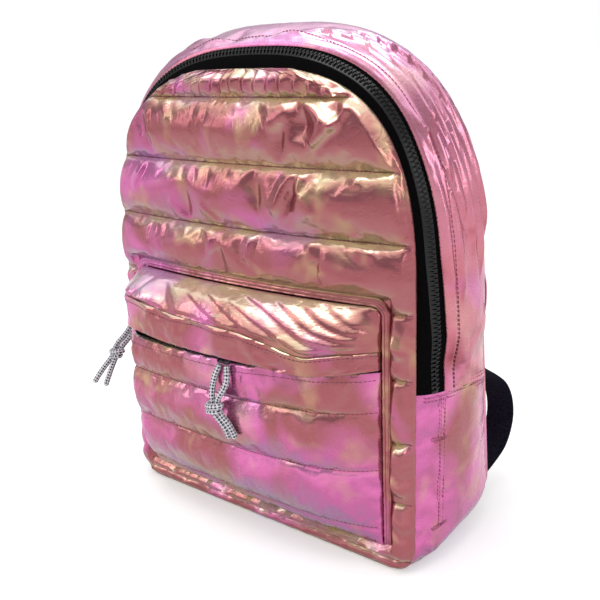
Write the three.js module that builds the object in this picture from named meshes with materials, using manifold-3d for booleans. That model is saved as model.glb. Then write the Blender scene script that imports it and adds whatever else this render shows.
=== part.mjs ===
// A quilted puffer backpack, standing on its base. Millimetres, +Z up, front towards -Y.
// Every cloth piece is a closed wall round the hollow of the bag; the quilted ones are padded.
import * as THREE from "three";
import Module from "manifold-3d";
import { mergeVertices } from "three/addons/utils/BufferGeometryUtils.js";

// Driving dimensions of the bag's body
const FRONT_WIDTH = 298;
const FRONT_HEIGHT = 381;
const REAR_FLARE = 18;
const REAR_HEIGHT = 408;
const BASE_DEPTH = 110;
const FRONT_LEAN = 9;
const REAR_LEAN = 40;
const LEAN_OVER = 400;
const ARCH_START = 210;
const ARCH_POWER = 3;
const FRONT_CORNER = 18;
const REAR_CORNER = 38;
const SIDE_SEAM_FRONT = 149;
const SIDE_SEAM_REAR = 136;
const SIDE_BULGE = 8;
const SIDE_SWELL = 0.6;
const GAP = 0.3;

// Quilted front panel
const SEAM_PITCH = 50;
const LOWEST_SEAM = 10;
const SEAM_WALL = 3;
const CHANNEL_PUFF = 11;
const PANEL_BOW = 12;

// Back panel
const BACK_WALL = 4;
const BACK_PUFF = 8;

// Gusset and main zip
const GUSSET_WALL = 2.4;
const GUSSET_LIFT = 2;
const FOLD_HEIGHT = 5;
const TAPE_WALL = 1.5;
const ZIP_BAND = 38;
const CHAIN_WIDTH = 6;
const CHAIN_PROUD = 1;

// Front pocket
const POCKET_INSET = 17;
const POCKET_BOTTOM = 21;
const POCKET_TOP = 221;
const POCKET_DEPTH = 28;
const POCKET_CORNER = 14;
const BINDING_WIDTH = 7;
const BINDING_WALL = 2.2;
const RIDGE_ABOVE_ZIP = 20;
const RIDGE_DIP = 12.5;
const FLAP_WIDTH = 24;
const FLAP_WALL = 2.4;
const POCKET_WALL = 3;
const POCKET_PUFF = 6;
const POCKET_FOLD_HEIGHT = 3;
const POCKET_MOUTH_BELOW_ZIP = 13;
const POCKET_ZIP_RISE = 8.5;
const POCKET_ZIP_WALL = 1.5;
const POCKET_ZIP_REACH = 0.78;
const POCKET_CHAIN_WIDTH = 5;
const POCKET_CHAIN_BELOW_TOP = 51;

// Straps, buckles, webbing and haul loop
const STRAP_WIDTH = 62;
const STRAP_THICKNESS = 13;
const STRAP_TAB = 2;
const WEBBING_WIDTH = 25;
const WEBBING_WALL = 1.4;
const BUCKLE_WIDTH = 34;
const BUCKLE_BAR = 4.5;
const BUCKLE_SLOT = 8;
const BUCKLE_WALL = 3.4;
const BUCKLE_HEIGHT_ABOVE_BASE = 146;
const BUCKLE_FROM_BACK = 26;
const BUCKLE_INSET = 34;
const STRAP_TOP_SIDE = 62;
const STRAP_BELOW_TOP = 36;
const WEBBING_FOOT_INSET = 20;
const WEBBING_FOOT_HEIGHT = 27;
const WEBBING_REACH = 52;
const HAUL_SPAN = 66;
const HAUL_REACH = 22;
const HAUL_BELOW_TOP = 24;

// Sliders and pull cords
const SLIDER_LENGTH = 13;
const SLIDER_WIDTH = 9;
const SLIDER_WALL = 3;
const POCKET_SLIDER_SIDE = 3;
const RING_WIRE = 1.6;
const RING_WIDTH = 13;
const RING_LENGTH = 7;
const RING_SWING = 0.45;
const CORD_DIAMETER = 5;
const CORD_SIDES = 8;
const KNOT_WIDTH = 17;

const REAR_WIDTH = FRONT_WIDTH + REAR_FLARE;
const HALF_FRONT = FRONT_WIDTH / 2;
const POCKET_HALF = HALF_FRONT - POCKET_INSET;
const PANEL_HALF = POCKET_HALF - BINDING_WIDTH - GAP;
const BINDING_LOW = POCKET_TOP - BINDING_WIDTH - GAP;
const POCKET_CHAIN_HEIGHT = POCKET_TOP - POCKET_CHAIN_BELOW_TOP;
const POCKET_ZIP_BOTTOM = POCKET_CHAIN_HEIGHT - POCKET_MOUTH_BELOW_ZIP;
const RIDGE_HEIGHT = POCKET_CHAIN_HEIGHT + RIDGE_ABOVE_ZIP;
const FLAP_BOTTOM = RIDGE_HEIGHT - FLAP_WIDTH;
const STRAP_TOP_HEIGHT = REAR_HEIGHT - STRAP_BELOW_TOP;
const BUCKLE_SIDE = REAR_WIDTH / 2 - BUCKLE_INSET;
const WEBBING_FOOT_SIDE = REAR_WIDTH / 2 - WEBBING_FOOT_INSET;
const HAUL_HEIGHT = REAR_HEIGHT - HAUL_BELOW_TOP;
const BUCKLE_HEIGHT = 3 * BUCKLE_BAR + 2 * BUCKLE_SLOT;

const front = {
  half: HALF_FRONT, height: FRONT_HEIGHT, corner: FRONT_CORNER, seam: SIDE_SEAM_FRONT, base: -BASE_DEPTH / 2,
  lean: FRONT_LEAN,
};
const rear = {
  half: REAR_WIDTH / 2, height: REAR_HEIGHT, corner: REAR_CORNER, seam: SIDE_SEAM_REAR, base: BASE_DEPTH / 2,
  lean: -REAR_LEAN,
};

const colours = {
  rose: { color: 0xc9788a, roughness: 0.3, metalness: 0.6 },
  pink: { color: 0xe887b4, roughness: 0.3, metalness: 0.6 },
  black: { color: 0x16161a, roughness: 0.7, metalness: 0 },
  metal: { color: 0x222226, roughness: 0.35, metalness: 0.8 },
  fleck: { color: 0x9a9aa2, roughness: 0.9, metalness: 0 },
};

const clamp = (value, low, high) => Math.min(high, Math.max(low, value));
const mix = (a, b, share) => a + (b - a) * share;
const smooth = (share) => {
  const s = clamp(share, 0, 1);
  return s * s * (3 - 2 * s);
};
const bump = (distance) => Math.exp(-distance * distance);

// Reads one column of a table at a place between its rows
function readTable(table, place, column) {
  const last = table.length - 1;
  if (place <= table[0].at) return table[0][column];
  if (place >= table[last].at) return table[last][column];
  const next = table.findIndex((row) => row.at >= place);
  const low = table[next - 1];
  const high = table[next];
  return mix(low[column], high[column], (place - low.at) / (high.at - low.at));
}

// The plane of the front or rear outline, which leans inwards with height
const planeY = (outline, z) => outline.base + (outline.lean * z) / LEAN_OVER;

// A point of an outline and its outward direction, on one of five legs from the base's middle to the top
function outlinePoint(outline, leg, share) {
  const { half, height, corner, seam } = outline;
  if (leg === "base") return { x: mix(0, half - corner, share), z: 0, outX: 0, outZ: -1 };
  if (leg === "corner") {
    const angle = (share - 1) * (Math.PI / 2);
    const outX = Math.cos(angle);
    const outZ = Math.sin(angle);
    return { x: half - corner + corner * outX, z: corner + corner * outZ, outX, outZ };
  }
  if (leg === "lower") return { x: half, z: mix(corner, seam - GAP / 2, share), outX: 1, outZ: 0 };
  if (leg === "upper") return { x: half, z: mix(seam + GAP / 2, ARCH_START, share), outX: 1, outZ: 0 };
  const rise = height - ARCH_START;
  const angle = (share * Math.PI) / 2;
  const x = half * Math.cos(angle) ** (2 / ARCH_POWER);
  const up = rise * Math.sin(angle) ** (2 / ARCH_POWER);
  const slopeX = (x / half) ** (ARCH_POWER - 1) / half;
  const slopeZ = (up / rise) ** (ARCH_POWER - 1) / rise;
  const size = Math.hypot(slopeX, slopeZ);
  return { x, z: ARCH_START + up, outX: slopeX / size, outZ: slopeZ / size };
}

// Half the width of an outline at a height
function halfAt({ half, height, corner }, z) {
  if (z < corner) return half - corner + Math.sqrt(corner ** 2 - (corner - z) ** 2);
  if (z <= ARCH_START) return half;
  const up = (z - ARCH_START) / (height - ARCH_START);
  return half * (1 - up ** ARCH_POWER) ** (1 / ARCH_POWER);
}

// Places along the gusset strip: leg, share of the leg, side of the bag, and share of the bulge there
function stationsOf(legs) {
  const half = [];
  legs.forEach(({ leg, steps, bulge }, legIndex) => {
    for (let i = legIndex ? 1 : 0; i <= steps; i += 1) {
      half.push({ leg, share: i / steps, bulge: bulge(i / steps) });
    }
  });
  const right = half.map((station) => ({ ...station, side: 1 }));
  const left = half.map((station) => ({ ...station, side: -1 }));
  return { right, left };
}

const lowerHalves = stationsOf([
  { leg: "base", steps: 3, bulge: () => 0 },
  { leg: "corner", steps: 4, bulge: (share) => smooth(share) },
  { leg: "lower", steps: 4, bulge: () => 1 },
]);
const lowerStations = [...lowerHalves.left.slice(1).reverse(), ...lowerHalves.right];

const upperHalves = stationsOf([
  { leg: "upper", steps: 4, bulge: (share) => 1 + SIDE_SWELL * smooth((share - 0.25) / 0.5) },
  { leg: "arch", steps: 20, bulge: (share) => 1 + SIDE_SWELL * smooth(1 - share / 0.4) },
]);
const upperStations = [...upperHalves.right, ...upperHalves.left.slice(0, -1).reverse()];

// Marks each upper station with its share of the way from the side seam to the top's middle
function markAlong(stations) {
  const lengths = [0];
  stations.forEach((station, i) => {
    if (!i) return;
    const a = outlinePoint(front, stations[i - 1].leg, stations[i - 1].share);
    const b = outlinePoint(front, station.leg, station.share);
    const lastX = stations[i - 1].side * a.x;
    lengths.push(lengths[i - 1] + Math.hypot(station.side * b.x - lastX, b.z - a.z));
  });
  const total = lengths[lengths.length - 1];
  stations.forEach((station, i) => {
    const whole = lengths[i] / total;
    station.whole = whole;
    station.along = 1 - Math.abs(1 - 2 * whole);
  });
}
markAlong(upperStations);

// A point of the bag's side skin: distance behind the front outline, then a lift along the outward direction
function skinPoint(station, fromFront, lift) {
  const a = outlinePoint(front, station.leg, station.share);
  const b = outlinePoint(rear, station.leg, station.share);
  const depth = depthAt(station);
  const share = clamp(fromFront / depth, 0, 1);
  const crown = 1 - (1 - 2 * share) ** 4;
  const out = SIDE_BULGE * station.bulge * crown + lift;
  const x = mix(a.x, b.x, share) + mix(a.outX, b.outX, share) * out;
  const y = mix(planeY(front, a.z), planeY(rear, b.z), share);
  const z = mix(a.z, b.z, share) + mix(a.outZ, b.outZ, share) * out;
  return new THREE.Vector3(station.side * x, y, z);
}

function depthAt(station) {
  const a = outlinePoint(front, station.leg, station.share);
  const b = outlinePoint(rear, station.leg, station.share);
  return Math.hypot(b.x - a.x, b.z - a.z, planeY(rear, b.z) - planeY(front, a.z));
}

// A closed wall between an outer and an inner grid of points, with its rim filled in
function closedWall(outer, inner) {
  const rows = outer.length;
  const columns = outer[0].length;
  const positions = [];
  [outer, inner].forEach((grid) => grid.forEach((row) => row.forEach((p) => positions.push(p.x, p.y, p.z))));
  const outerAt = (i, j) => i * columns + j;
  const innerAt = (i, j) => (rows + i) * columns + j;
  const index = [];
  const quad = (a, b, c, d) => index.push(a, b, c, a, c, d);
  for (let i = 0; i < rows - 1; i += 1) {
    for (let j = 0; j < columns - 1; j += 1) {
      quad(outerAt(i, j), outerAt(i, j + 1), outerAt(i + 1, j + 1), outerAt(i + 1, j));
      quad(innerAt(i, j), innerAt(i + 1, j), innerAt(i + 1, j + 1), innerAt(i, j + 1));
    }
  }
  for (let j = 0; j < columns - 1; j += 1) {
    quad(outerAt(0, j + 1), outerAt(0, j), innerAt(0, j), innerAt(0, j + 1));
    quad(outerAt(rows - 1, j), outerAt(rows - 1, j + 1), innerAt(rows - 1, j + 1), innerAt(rows - 1, j));
  }
  for (let i = 0; i < rows - 1; i += 1) {
    quad(outerAt(i, 0), outerAt(i + 1, 0), innerAt(i + 1, 0), innerAt(i, 0));
    const end = columns - 1;
    quad(outerAt(i + 1, end), outerAt(i, end), innerAt(i, end), innerAt(i + 1, end));
  }
  const geometry = new THREE.BufferGeometry();
  geometry.setAttribute("position", new THREE.Float32BufferAttribute(positions, 3));
  geometry.setIndex(index);
  return facingOut(geometry);
}

// Turns every face round where a closed geometry faces inwards
function facingOut(geometry) {
  const place = geometry.getAttribute("position");
  const index = geometry.getIndex().array;
  const a = new THREE.Vector3();
  const b = new THREE.Vector3();
  const c = new THREE.Vector3();
  let volume = 0;
  for (let i = 0; i < index.length; i += 3) {
    a.fromBufferAttribute(place, index[i]);
    b.fromBufferAttribute(place, index[i + 1]);
    c.fromBufferAttribute(place, index[i + 2]);
    volume += a.dot(b.cross(c));
  }
  if (volume < 0) {
    for (let i = 0; i < index.length; i += 3) {
      [index[i + 1], index[i + 2]] = [index[i + 2], index[i + 1]];
    }
  }
  geometry.computeVertexNormals();
  return geometry;
}

const wasm = await Module();
wasm.setup();

// A closed geometry as a solid that can be joined and cut
function solidOf(geometry) {
  const bare = geometry.clone();
  bare.deleteAttribute("normal");
  bare.deleteAttribute("uv");
  const merged = mergeVertices(bare, 1e-4);
  const triVerts = new Uint32Array(merged.index.array);
  const vertProperties = new Float32Array(merged.attributes.position.array);
  return new wasm.Manifold(new wasm.Mesh({ numProp: 3, vertProperties, triVerts }));
}

function geometryOf(solid) {
  const mesh = solid.getMesh();
  const geometry = new THREE.BufferGeometry();
  geometry.setAttribute("position", new THREE.BufferAttribute(new Float32Array(mesh.vertProperties), 3));
  geometry.setIndex(new THREE.BufferAttribute(new Uint32Array(mesh.triVerts), 1));
  geometry.computeVertexNormals();
  return geometry;
}

const backpack = new THREE.Group();

function addPiece(name, geometry, finish) {
  const mesh = new THREE.Mesh(geometry, new THREE.MeshStandardMaterial({ ...finish, flatShading: true }));
  mesh.name = name;
  backpack.add(mesh);
  return mesh;
}

// A strip that follows the bag's side skin between two distances behind the front outline
function skinStrip(stations, edges, steps, outerLift, wall) {
  const outer = [];
  const inner = [];
  stations.forEach((station) => {
    const [from, to] = edges(station);
    const outerRow = [];
    const innerRow = [];
    for (let j = 0; j <= steps; j += 1) {
      const share = j / steps;
      const fromFront = mix(from, to, share);
      const lift = outerLift(station, share);
      outerRow.push(skinPoint(station, fromFront, lift));
      innerRow.push(skinPoint(station, fromFront, lift - wall));
    }
    outer.push(outerRow);
    inner.push(innerRow);
  });
  return closedWall(outer, inner);
}

// Width of the black zip band that the gusset leaves open, and the chain's place in it
const zipBand = [
  { at: 0, width: 0.65, chain: 0.6 },
  { at: 0.15, width: 0.48, chain: 0.58 },
  { at: 0.3, width: 0.34, chain: 0.55 },
  { at: 0.5, width: 0.32, chain: 0.55 },
  { at: 0.75, width: 0.38, chain: 0.58 },
  { at: 0.9, width: 0.46, chain: 0.66 },
  { at: 1, width: 0.48, chain: 0.68 },
];
const bandWidthAt = (station) => ZIP_BAND * readTable(zipBand, station.along, "width");
const chainCentreAt = (station) => bandWidthAt(station) * readTable(zipBand, station.along, "chain");

// Long folds of the upper gusset, as shares of its length from the right side seam and of its depth
const gussetFolds = [
  { fromAlong: 0.42, fromDepth: 0.1, toAlong: 0.16, toDepth: 0.62, height: 1, half: 0.1 },
  { fromAlong: 0.46, fromDepth: 0.3, toAlong: 0.2, toDepth: 0.86, height: 0.9, half: 0.1 },
  { fromAlong: 0.33, fromDepth: 0.02, toAlong: 0.13, toDepth: 0.34, height: 0.9, half: 0.09 },
  { fromAlong: 0.58, fromDepth: 0.16, toAlong: 0.8, toDepth: 0.7, height: 0.9, half: 0.1 },
  { fromAlong: 0.66, fromDepth: 0.04, toAlong: 0.87, toDepth: 0.42, height: 0.8, half: 0.09 },
  { fromAlong: 0.55, fromDepth: 0.4, toAlong: 0.74, toDepth: 0.9, height: 0.8, half: 0.1 },
];

function gussetFoldAt(along, depth) {
  const edge = smooth(Math.min(depth, 1 - depth) / 0.12) * smooth(Math.min(along, 1 - along) / 0.06);
  return gussetFolds.reduce((most, fold) => {
    const run = clamp((along - fold.fromAlong) / (fold.toAlong - fold.fromAlong), 0, 1);
    const centre = mix(fold.fromDepth, fold.toDepth, run);
    const ends = smooth(Math.sin(Math.PI * run) * 2);
    return Math.max(most, fold.height * ends * bump((depth - centre) / fold.half) * edge);
  }, 0) * FOLD_HEIGHT;
}

function addBody() {
  addPiece("upper_gusset", skinStrip(
    upperStations,
    (station) => [bandWidthAt(station) + GAP, depthAt(station) - GAP],
    9,
    (station, share) => GUSSET_LIFT * smooth((1 - share) / 0.3) + gussetFoldAt(station.whole, share),
    GUSSET_WALL,
  ), colours.pink);
  addPiece("lower_gusset", skinStrip(
    lowerStations,
    (station) => [GAP, depthAt(station) - GAP],
    5,
    () => 0,
    GUSSET_WALL,
  ), colours.rose);
  const chainEdges = (station) => {
    const centre = chainCentreAt(station);
    return [centre - CHAIN_WIDTH / 2, centre + CHAIN_WIDTH / 2];
  };
  addPiece("main_zip_tape_front", skinStrip(
    upperStations,
    (station) => [GAP, chainEdges(station)[0] - GAP],
    1,
    () => 0,
    TAPE_WALL,
  ), colours.black);
  addPiece("main_zip_chain", skinStrip(
    upperStations,
    chainEdges,
    1,
    () => CHAIN_PROUD,
    TAPE_WALL + CHAIN_PROUD,
  ), colours.metal);
  addPiece("main_zip_tape_rear", skinStrip(
    upperStations,
    (station) => [chainEdges(station)[1] + GAP, bandWidthAt(station)],
    1,
    () => 0,
    TAPE_WALL,
  ), colours.black);
}

// Heights of the quilting seams of the front panel
const seamHeights = [];
for (let z = LOWEST_SEAM; z < FRONT_HEIGHT - SEAM_PITCH / 4; z += SEAM_PITCH) seamHeights.push(z);

// Share of the full puff at a height: none on a seam, all in the middle of a channel
function channelProfile(z, top) {
  const below = seamHeights.filter((height) => height <= z).pop() ?? 0;
  const above = seamHeights.find((height) => height > z) ?? top;
  const share = (z - below) / (above - below);
  const size = Math.min(1, (above - below) / (SEAM_PITCH * 0.6));
  return size * (1 - (2 * share - 1) ** 2) ** 0.6;
}

// Folds that pull the channels in, as shares of the half width and of the front's height
const channelDents = [
  { side: 0.42, up: 0.9, halfSide: 0.07, halfUp: 0.035, depth: 0.7 },
  { side: 0.3, up: 0.87, halfSide: 0.05, halfUp: 0.03, depth: 0.5 },
  { side: 0.36, up: 0.77, halfSide: 0.04, halfUp: 0.04, depth: 0.6 },
  { side: 0.15, up: 0.76, halfSide: 0.05, halfUp: 0.04, depth: 0.5 },
  { side: -0.35, up: 0.72, halfSide: 0.06, halfUp: 0.03, depth: 0.5 },
  { side: -0.7, up: 0.88, halfSide: 0.06, halfUp: 0.04, depth: 0.4 },
  { side: 0.5, up: 0.63, halfSide: 0.05, halfUp: 0.04, depth: 0.5 },
  { side: -0.1, up: 0.62, halfSide: 0.05, halfUp: 0.04, depth: 0.4 },
];

function dentAt(side, up) {
  return channelDents.reduce((sum, dent) => {
    return sum + dent.depth * bump((side - dent.side) / dent.halfSide) * bump((up - dent.up) / dent.halfUp);
  }, 0);
}

// How far the padded front stands before the front outline's plane, with no padding behind the pocket
function panelInner(x, z) {
  const half = halfAt(front, z);
  const across = 1 - Math.min(1, (x / half) ** 2);
  return GAP / 2 + PANEL_BOW * across * Math.sin((Math.PI * z) / FRONT_HEIGHT) ** 0.6;
}

function behindPocket(x, z) {
  const ramp = SEAM_WALL + GAP;
  const inSide = smooth((POCKET_HALF + ramp - Math.abs(x)) / ramp);
  const inTop = smooth((POCKET_TOP + ramp - z) / ramp);
  const inBottom = smooth((z - POCKET_BOTTOM + ramp) / ramp);
  return inSide * inTop * inBottom;
}

function panelOuter(x, z) {
  const half = halfAt(front, z);
  const sideEdge = smooth((half - Math.abs(x)) / (CHANNEL_PUFF * 0.8));
  const topEdge = smooth((FRONT_HEIGHT - z) / CHANNEL_PUFF);
  const puff = CHANNEL_PUFF * channelProfile(z, FRONT_HEIGHT) * sideEdge * topEdge * (1 - behindPocket(x, z));
  const dent = 1 - clamp(dentAt(x / HALF_FRONT, z / FRONT_HEIGHT), 0, 0.75);
  return panelInner(x, z) + SEAM_WALL + puff * dent;
}

// A point at a height, a side and a distance before the front outline's plane
const beforeFront = (x, z, out) => new THREE.Vector3(x, planeY(front, z) - out, z);

function frontPanelRows() {
  const rows = new Set();
  [0.03, 0.3, 1].forEach((share) => rows.add(share * FRONT_CORNER));
  seamHeights.forEach((height, i) => {
    const above = seamHeights[i + 1] ?? FRONT_HEIGHT;
    rows.add(height);
    const between = above < FRONT_HEIGHT ? [0.18, 0.5, 0.82] : [0.3, 0.6, 0.85, 0.98];
    between.forEach((share) => rows.add(mix(height, above, share)));
  });
  rows.add(POCKET_TOP);
  rows.add(POCKET_TOP + SEAM_WALL + GAP);
  rows.add(POCKET_BOTTOM);
  rows.add(POCKET_BOTTOM - SEAM_WALL);
  const sorted = [...rows].sort((a, b) => a - b);
  return sorted.filter((z, i) => !i || z - sorted[i - 1] > 1);
}

function frontPanelShares() {
  const pocketEdge = POCKET_HALF / HALF_FRONT;
  const right = [0.19, 0.37, 0.54, 0.7, (PANEL_HALF - GAP) / HALF_FRONT, pocketEdge];
  [0.3, 0.65, 1].forEach((share) => right.push(mix(pocketEdge, 1, share)));
  return [...right.map((share) => -share).reverse(), 0, ...right];
}

function addFrontPanel() {
  const shares = frontPanelShares();
  const outer = [];
  const inner = [];
  frontPanelRows().forEach((z) => {
    const half = halfAt(front, z);
    outer.push(shares.map((share) => beforeFront(share * half, z, panelOuter(share * half, z))));
    inner.push(shares.map((share) => beforeFront(share * half, z, panelInner(share * half, z))));
  });
  addPiece("front_panel", closedWall(outer, inner), colours.rose);
}

// The back panel is plain: one padded crown between the rear outline's edges
function backOuter(x, z) {
  const half = halfAt(rear, z);
  const across = smooth((half - Math.abs(x)) / (BACK_PUFF * 3));
  const ends = smooth(z / (BACK_PUFF * 3)) * smooth((REAR_HEIGHT - z) / (BACK_PUFF * 3));
  return BACK_WALL + BACK_PUFF * across * ends;
}

const behindBack = (x, z, out) => new THREE.Vector3(x, planeY(rear, z) + out, z);

function addBackPanel() {
  const heights = [0.01, 0.1, 0.35, 0.7, 1].map((share) => share * REAR_CORNER);
  for (let i = 1; i <= 4; i += 1) heights.push(mix(REAR_CORNER, ARCH_START, i / 4));
  [0.2, 0.4, 0.58, 0.74, 0.86, 0.94, 0.98, 0.997].forEach((share) => {
    heights.push(mix(ARCH_START, REAR_HEIGHT, share));
  });
  const shares = [-1, -0.93, -0.85, -0.5, 0, 0.5, 0.85, 0.93, 1];
  const outer = [];
  const inner = [];
  heights.forEach((z) => {
    const half = halfAt(rear, z);
    outer.push(shares.map((share) => behindBack(share * half, z, backOuter(share * half, z))));
    inner.push(shares.map((share) => behindBack(share * half, z, GAP / 2)));
  });
  addPiece("back_panel", closedWall(outer, inner), colours.pink);
}

// The pocket's swell across its width: steep on the left, where it is full, and sloping on the right
const pocketAcross = [
  { at: -1, swell: 0 },
  { at: -0.985, swell: 0.55 },
  { at: -0.96, swell: 0.85 },
  { at: -0.9, swell: 0.97 },
  { at: -0.7, swell: 1 },
  { at: 0.5, swell: 1 },
  { at: 0.65, swell: 0.95 },
  { at: 0.78, swell: 0.72 },
  { at: 0.9, swell: 0.42 },
  { at: 1, swell: 0 },
];

// The pocket's swell up its height, as shares of its depth, and the padding that it carries there
const pocketUp = [
  { at: 0, swell: 0, puff: 0 },
  { at: 0.04, swell: 0.2, puff: 0.1 },
  { at: 0.1, swell: 0.38, puff: 0 },
  { at: 0.2, swell: 0.52, puff: 0.85 },
  { at: 0.29, swell: 0.64, puff: 1 },
  { at: 0.38, swell: 0.72, puff: 0.85 },
  { at: 0.45, swell: 0.76, puff: 0 },
  { at: 0.54, swell: 0.82, puff: 0.85 },
  { at: 0.64, swell: 0.86, puff: 1 },
  { at: 0.72, swell: 0.86, puff: 0.85 },
  { at: 0.78, swell: 0.84, puff: 0 },
  { at: 0.88, swell: 0.8, puff: 0.9 },
  { at: 1, swell: 0.8, puff: 0.3 },
];

// Diagonal folds of the pocket's upper panel, which gather towards its right-hand corner
const pocketFolds = [
  { fromSide: 0.82, fromUp: 0.15, toSide: 0.2, toUp: 0.8, height: 1, half: 0.12 },
  { fromSide: 0.86, fromUp: 0.4, toSide: 0.45, toUp: 0.95, height: 0.8, half: 0.1 },
  { fromSide: 0.1, fromUp: 0.15, toSide: -0.4, toUp: 0.85, height: 0.8, half: 0.13 },
  { fromSide: -0.45, fromUp: 0.1, toSide: -0.85, toUp: 0.8, height: 0.9, half: 0.13 },
];

const swellAcross = (x) => readTable(pocketAcross, x / PANEL_HALF, "swell");
const onPanel = (x, z) => panelOuter(x, z) + GAP;

// Half the width between the binding's inner edges, which turn in at the pocket's top corners
function pocketHalfAt(z) {
  const corner = POCKET_CORNER - BINDING_WIDTH - GAP;
  const up = z - (POCKET_TOP - POCKET_CORNER);
  if (up <= 0) return PANEL_HALF;
  return PANEL_HALF - corner + Math.sqrt(Math.max(0, corner ** 2 - up ** 2));
}

// The zip's lower edge climbs to the right until the flap hides it
const zipEdge = [
  { at: -1, rise: 0 },
  { at: -0.1, rise: 0.34 },
  { at: 0.14, rise: 0.38 },
  { at: 0.5, rise: 1 },
];
const zipBottomAt = (share) => POCKET_ZIP_BOTTOM + POCKET_ZIP_RISE * readTable(zipEdge, share, "rise");

// The ridge over the zip sags to the right, and the flap's lower edge wavers with it
const ridgeLine = [
  { at: -1, ridge: 0.48, flap: 0.16 },
  { at: -0.45, ridge: 0, flap: -0.16 },
  { at: 0.18, ridge: -0.16, flap: -0.1 },
  { at: 0.4, ridge: -0.55, flap: -0.14 },
  { at: 0.62, ridge: -1, flap: -0.2 },
  { at: 0.8, ridge: -0.72, flap: -0.04 },
  { at: 1, ridge: -0.72, flap: 0.12 },
];
const ridgeAt = (share) => RIDGE_HEIGHT + RIDGE_DIP * readTable(ridgeLine, share, "ridge");
const flapBottomAt = (share) => FLAP_BOTTOM + RIDGE_DIP * readTable(ridgeLine, share, "flap");

// Shares across the pocket that its pieces are built on
const pocketShares = [
  -1, -0.985, -0.96, -0.9, -0.78, -0.62, -0.45, -0.28, -0.1, 0.08, 0.25, 0.4, 0.52, 0.65, 0.78, 0.9, 0.96, 1,
];

// A closed wall before the front panel: each row gives a height and how far its skin stands off the panel
function pocketWall(rows, outerRise, innerRise) {
  const outer = [];
  const inner = [];
  rows.forEach((row) => {
    const place = (share, rise) => {
      const z = row.height(share);
      const x = share * pocketHalfAt(z);
      return beforeFront(x, z, onPanel(x, z) + rise(x, row));
    };
    outer.push(pocketShares.map((share) => place(share, outerRise)));
    inner.push(pocketShares.map((share) => place(share, innerRise)));
  });
  return closedWall(outer, inner);
}

function addPocket() {
  const lowerRows = pocketUp.map((row) => ({
    ...row, height: (share) => mix(POCKET_BOTTOM, zipBottomAt(share) - GAP, row.at),
  }));
  addPiece("pocket_lower_panel", pocketWall(
    lowerRows,
    (x, row) => POCKET_WALL + (POCKET_DEPTH * row.swell + POCKET_PUFF * row.puff) * swellAcross(x),
    (x, row) => POCKET_DEPTH * row.swell * swellAcross(x),
  ), colours.rose);

  const upperRows = [
    { at: 0, swell: 1 },
    { at: 0.2, swell: 0.97 },
    { at: 0.4, swell: 0.84 },
    { at: 0.6, swell: 0.62 },
    { at: 0.8, swell: 0.34 },
    { at: 1, swell: 0.08 },
  ].map((row) => ({ ...row, height: (share) => mix(ridgeAt(share) + GAP, BINDING_LOW, row.at) }));
  const foldAt = (x, row) => pocketFolds.reduce((most, fold) => {
    const run = clamp((row.at - fold.fromUp) / (fold.toUp - fold.fromUp), 0, 1);
    const centre = mix(fold.fromSide, fold.toSide, run);
    const ends = smooth(Math.min(row.at, 1 - row.at) / 0.2);
    return Math.max(most, fold.height * ends * bump((x / PANEL_HALF - centre) / fold.half));
  }, 0) * POCKET_FOLD_HEIGHT * Math.min(1, 3 * swellAcross(x));
  addPiece("pocket_upper_panel", pocketWall(
    upperRows,
    (x, row) => POCKET_WALL + POCKET_DEPTH * row.swell * swellAcross(x) + foldAt(x, row),
    (x, row) => POCKET_DEPTH * row.swell * swellAcross(x),
  ), colours.rose);

  const chainLow = POCKET_CHAIN_HEIGHT - POCKET_CHAIN_WIDTH / 2;
  const chainHigh = POCKET_CHAIN_HEIGHT + POCKET_CHAIN_WIDTH / 2;
  const zipInner = (x, row) => POCKET_DEPTH * mix(POCKET_ZIP_REACH, 1, row.tuck) * swellAcross(x);
  const flapInner = (x) => POCKET_ZIP_WALL + GAP + POCKET_DEPTH * swellAcross(x);
  addPiece("pocket_zip_tape_lower", pocketWall(
    [{ height: zipBottomAt, tuck: 0 }, { height: () => chainLow - GAP, tuck: 0 }],
    (x, row) => POCKET_ZIP_WALL + zipInner(x, row),
    zipInner,
  ), colours.black);
  addPiece("pocket_zip_chain", pocketWall(
    [{ height: () => chainLow, tuck: 0 }, { height: () => chainHigh, tuck: 0 }],
    (x, row) => POCKET_ZIP_WALL + GAP / 2 + zipInner(x, row),
    zipInner,
  ), colours.metal);
  addPiece("pocket_zip_tape_upper", pocketWall(
    [
      { height: () => chainHigh + GAP, tuck: 0 },
      { height: (share) => mix(chainHigh, ridgeAt(share), 0.5), tuck: 0.3 },
      { height: (share) => ridgeAt(share) - GAP, tuck: 1 },
    ],
    (x, row) => POCKET_ZIP_WALL + zipInner(x, row),
    zipInner,
  ), colours.black);
  addPiece("pocket_flap", pocketWall(
    [0, 0.35, 0.7, 1].map((at) => ({ height: (share) => mix(flapBottomAt(share), ridgeAt(share), at) })),
    (x) => flapInner(x) + FLAP_WALL,
    flapInner,
  ), colours.rose);
}

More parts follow.
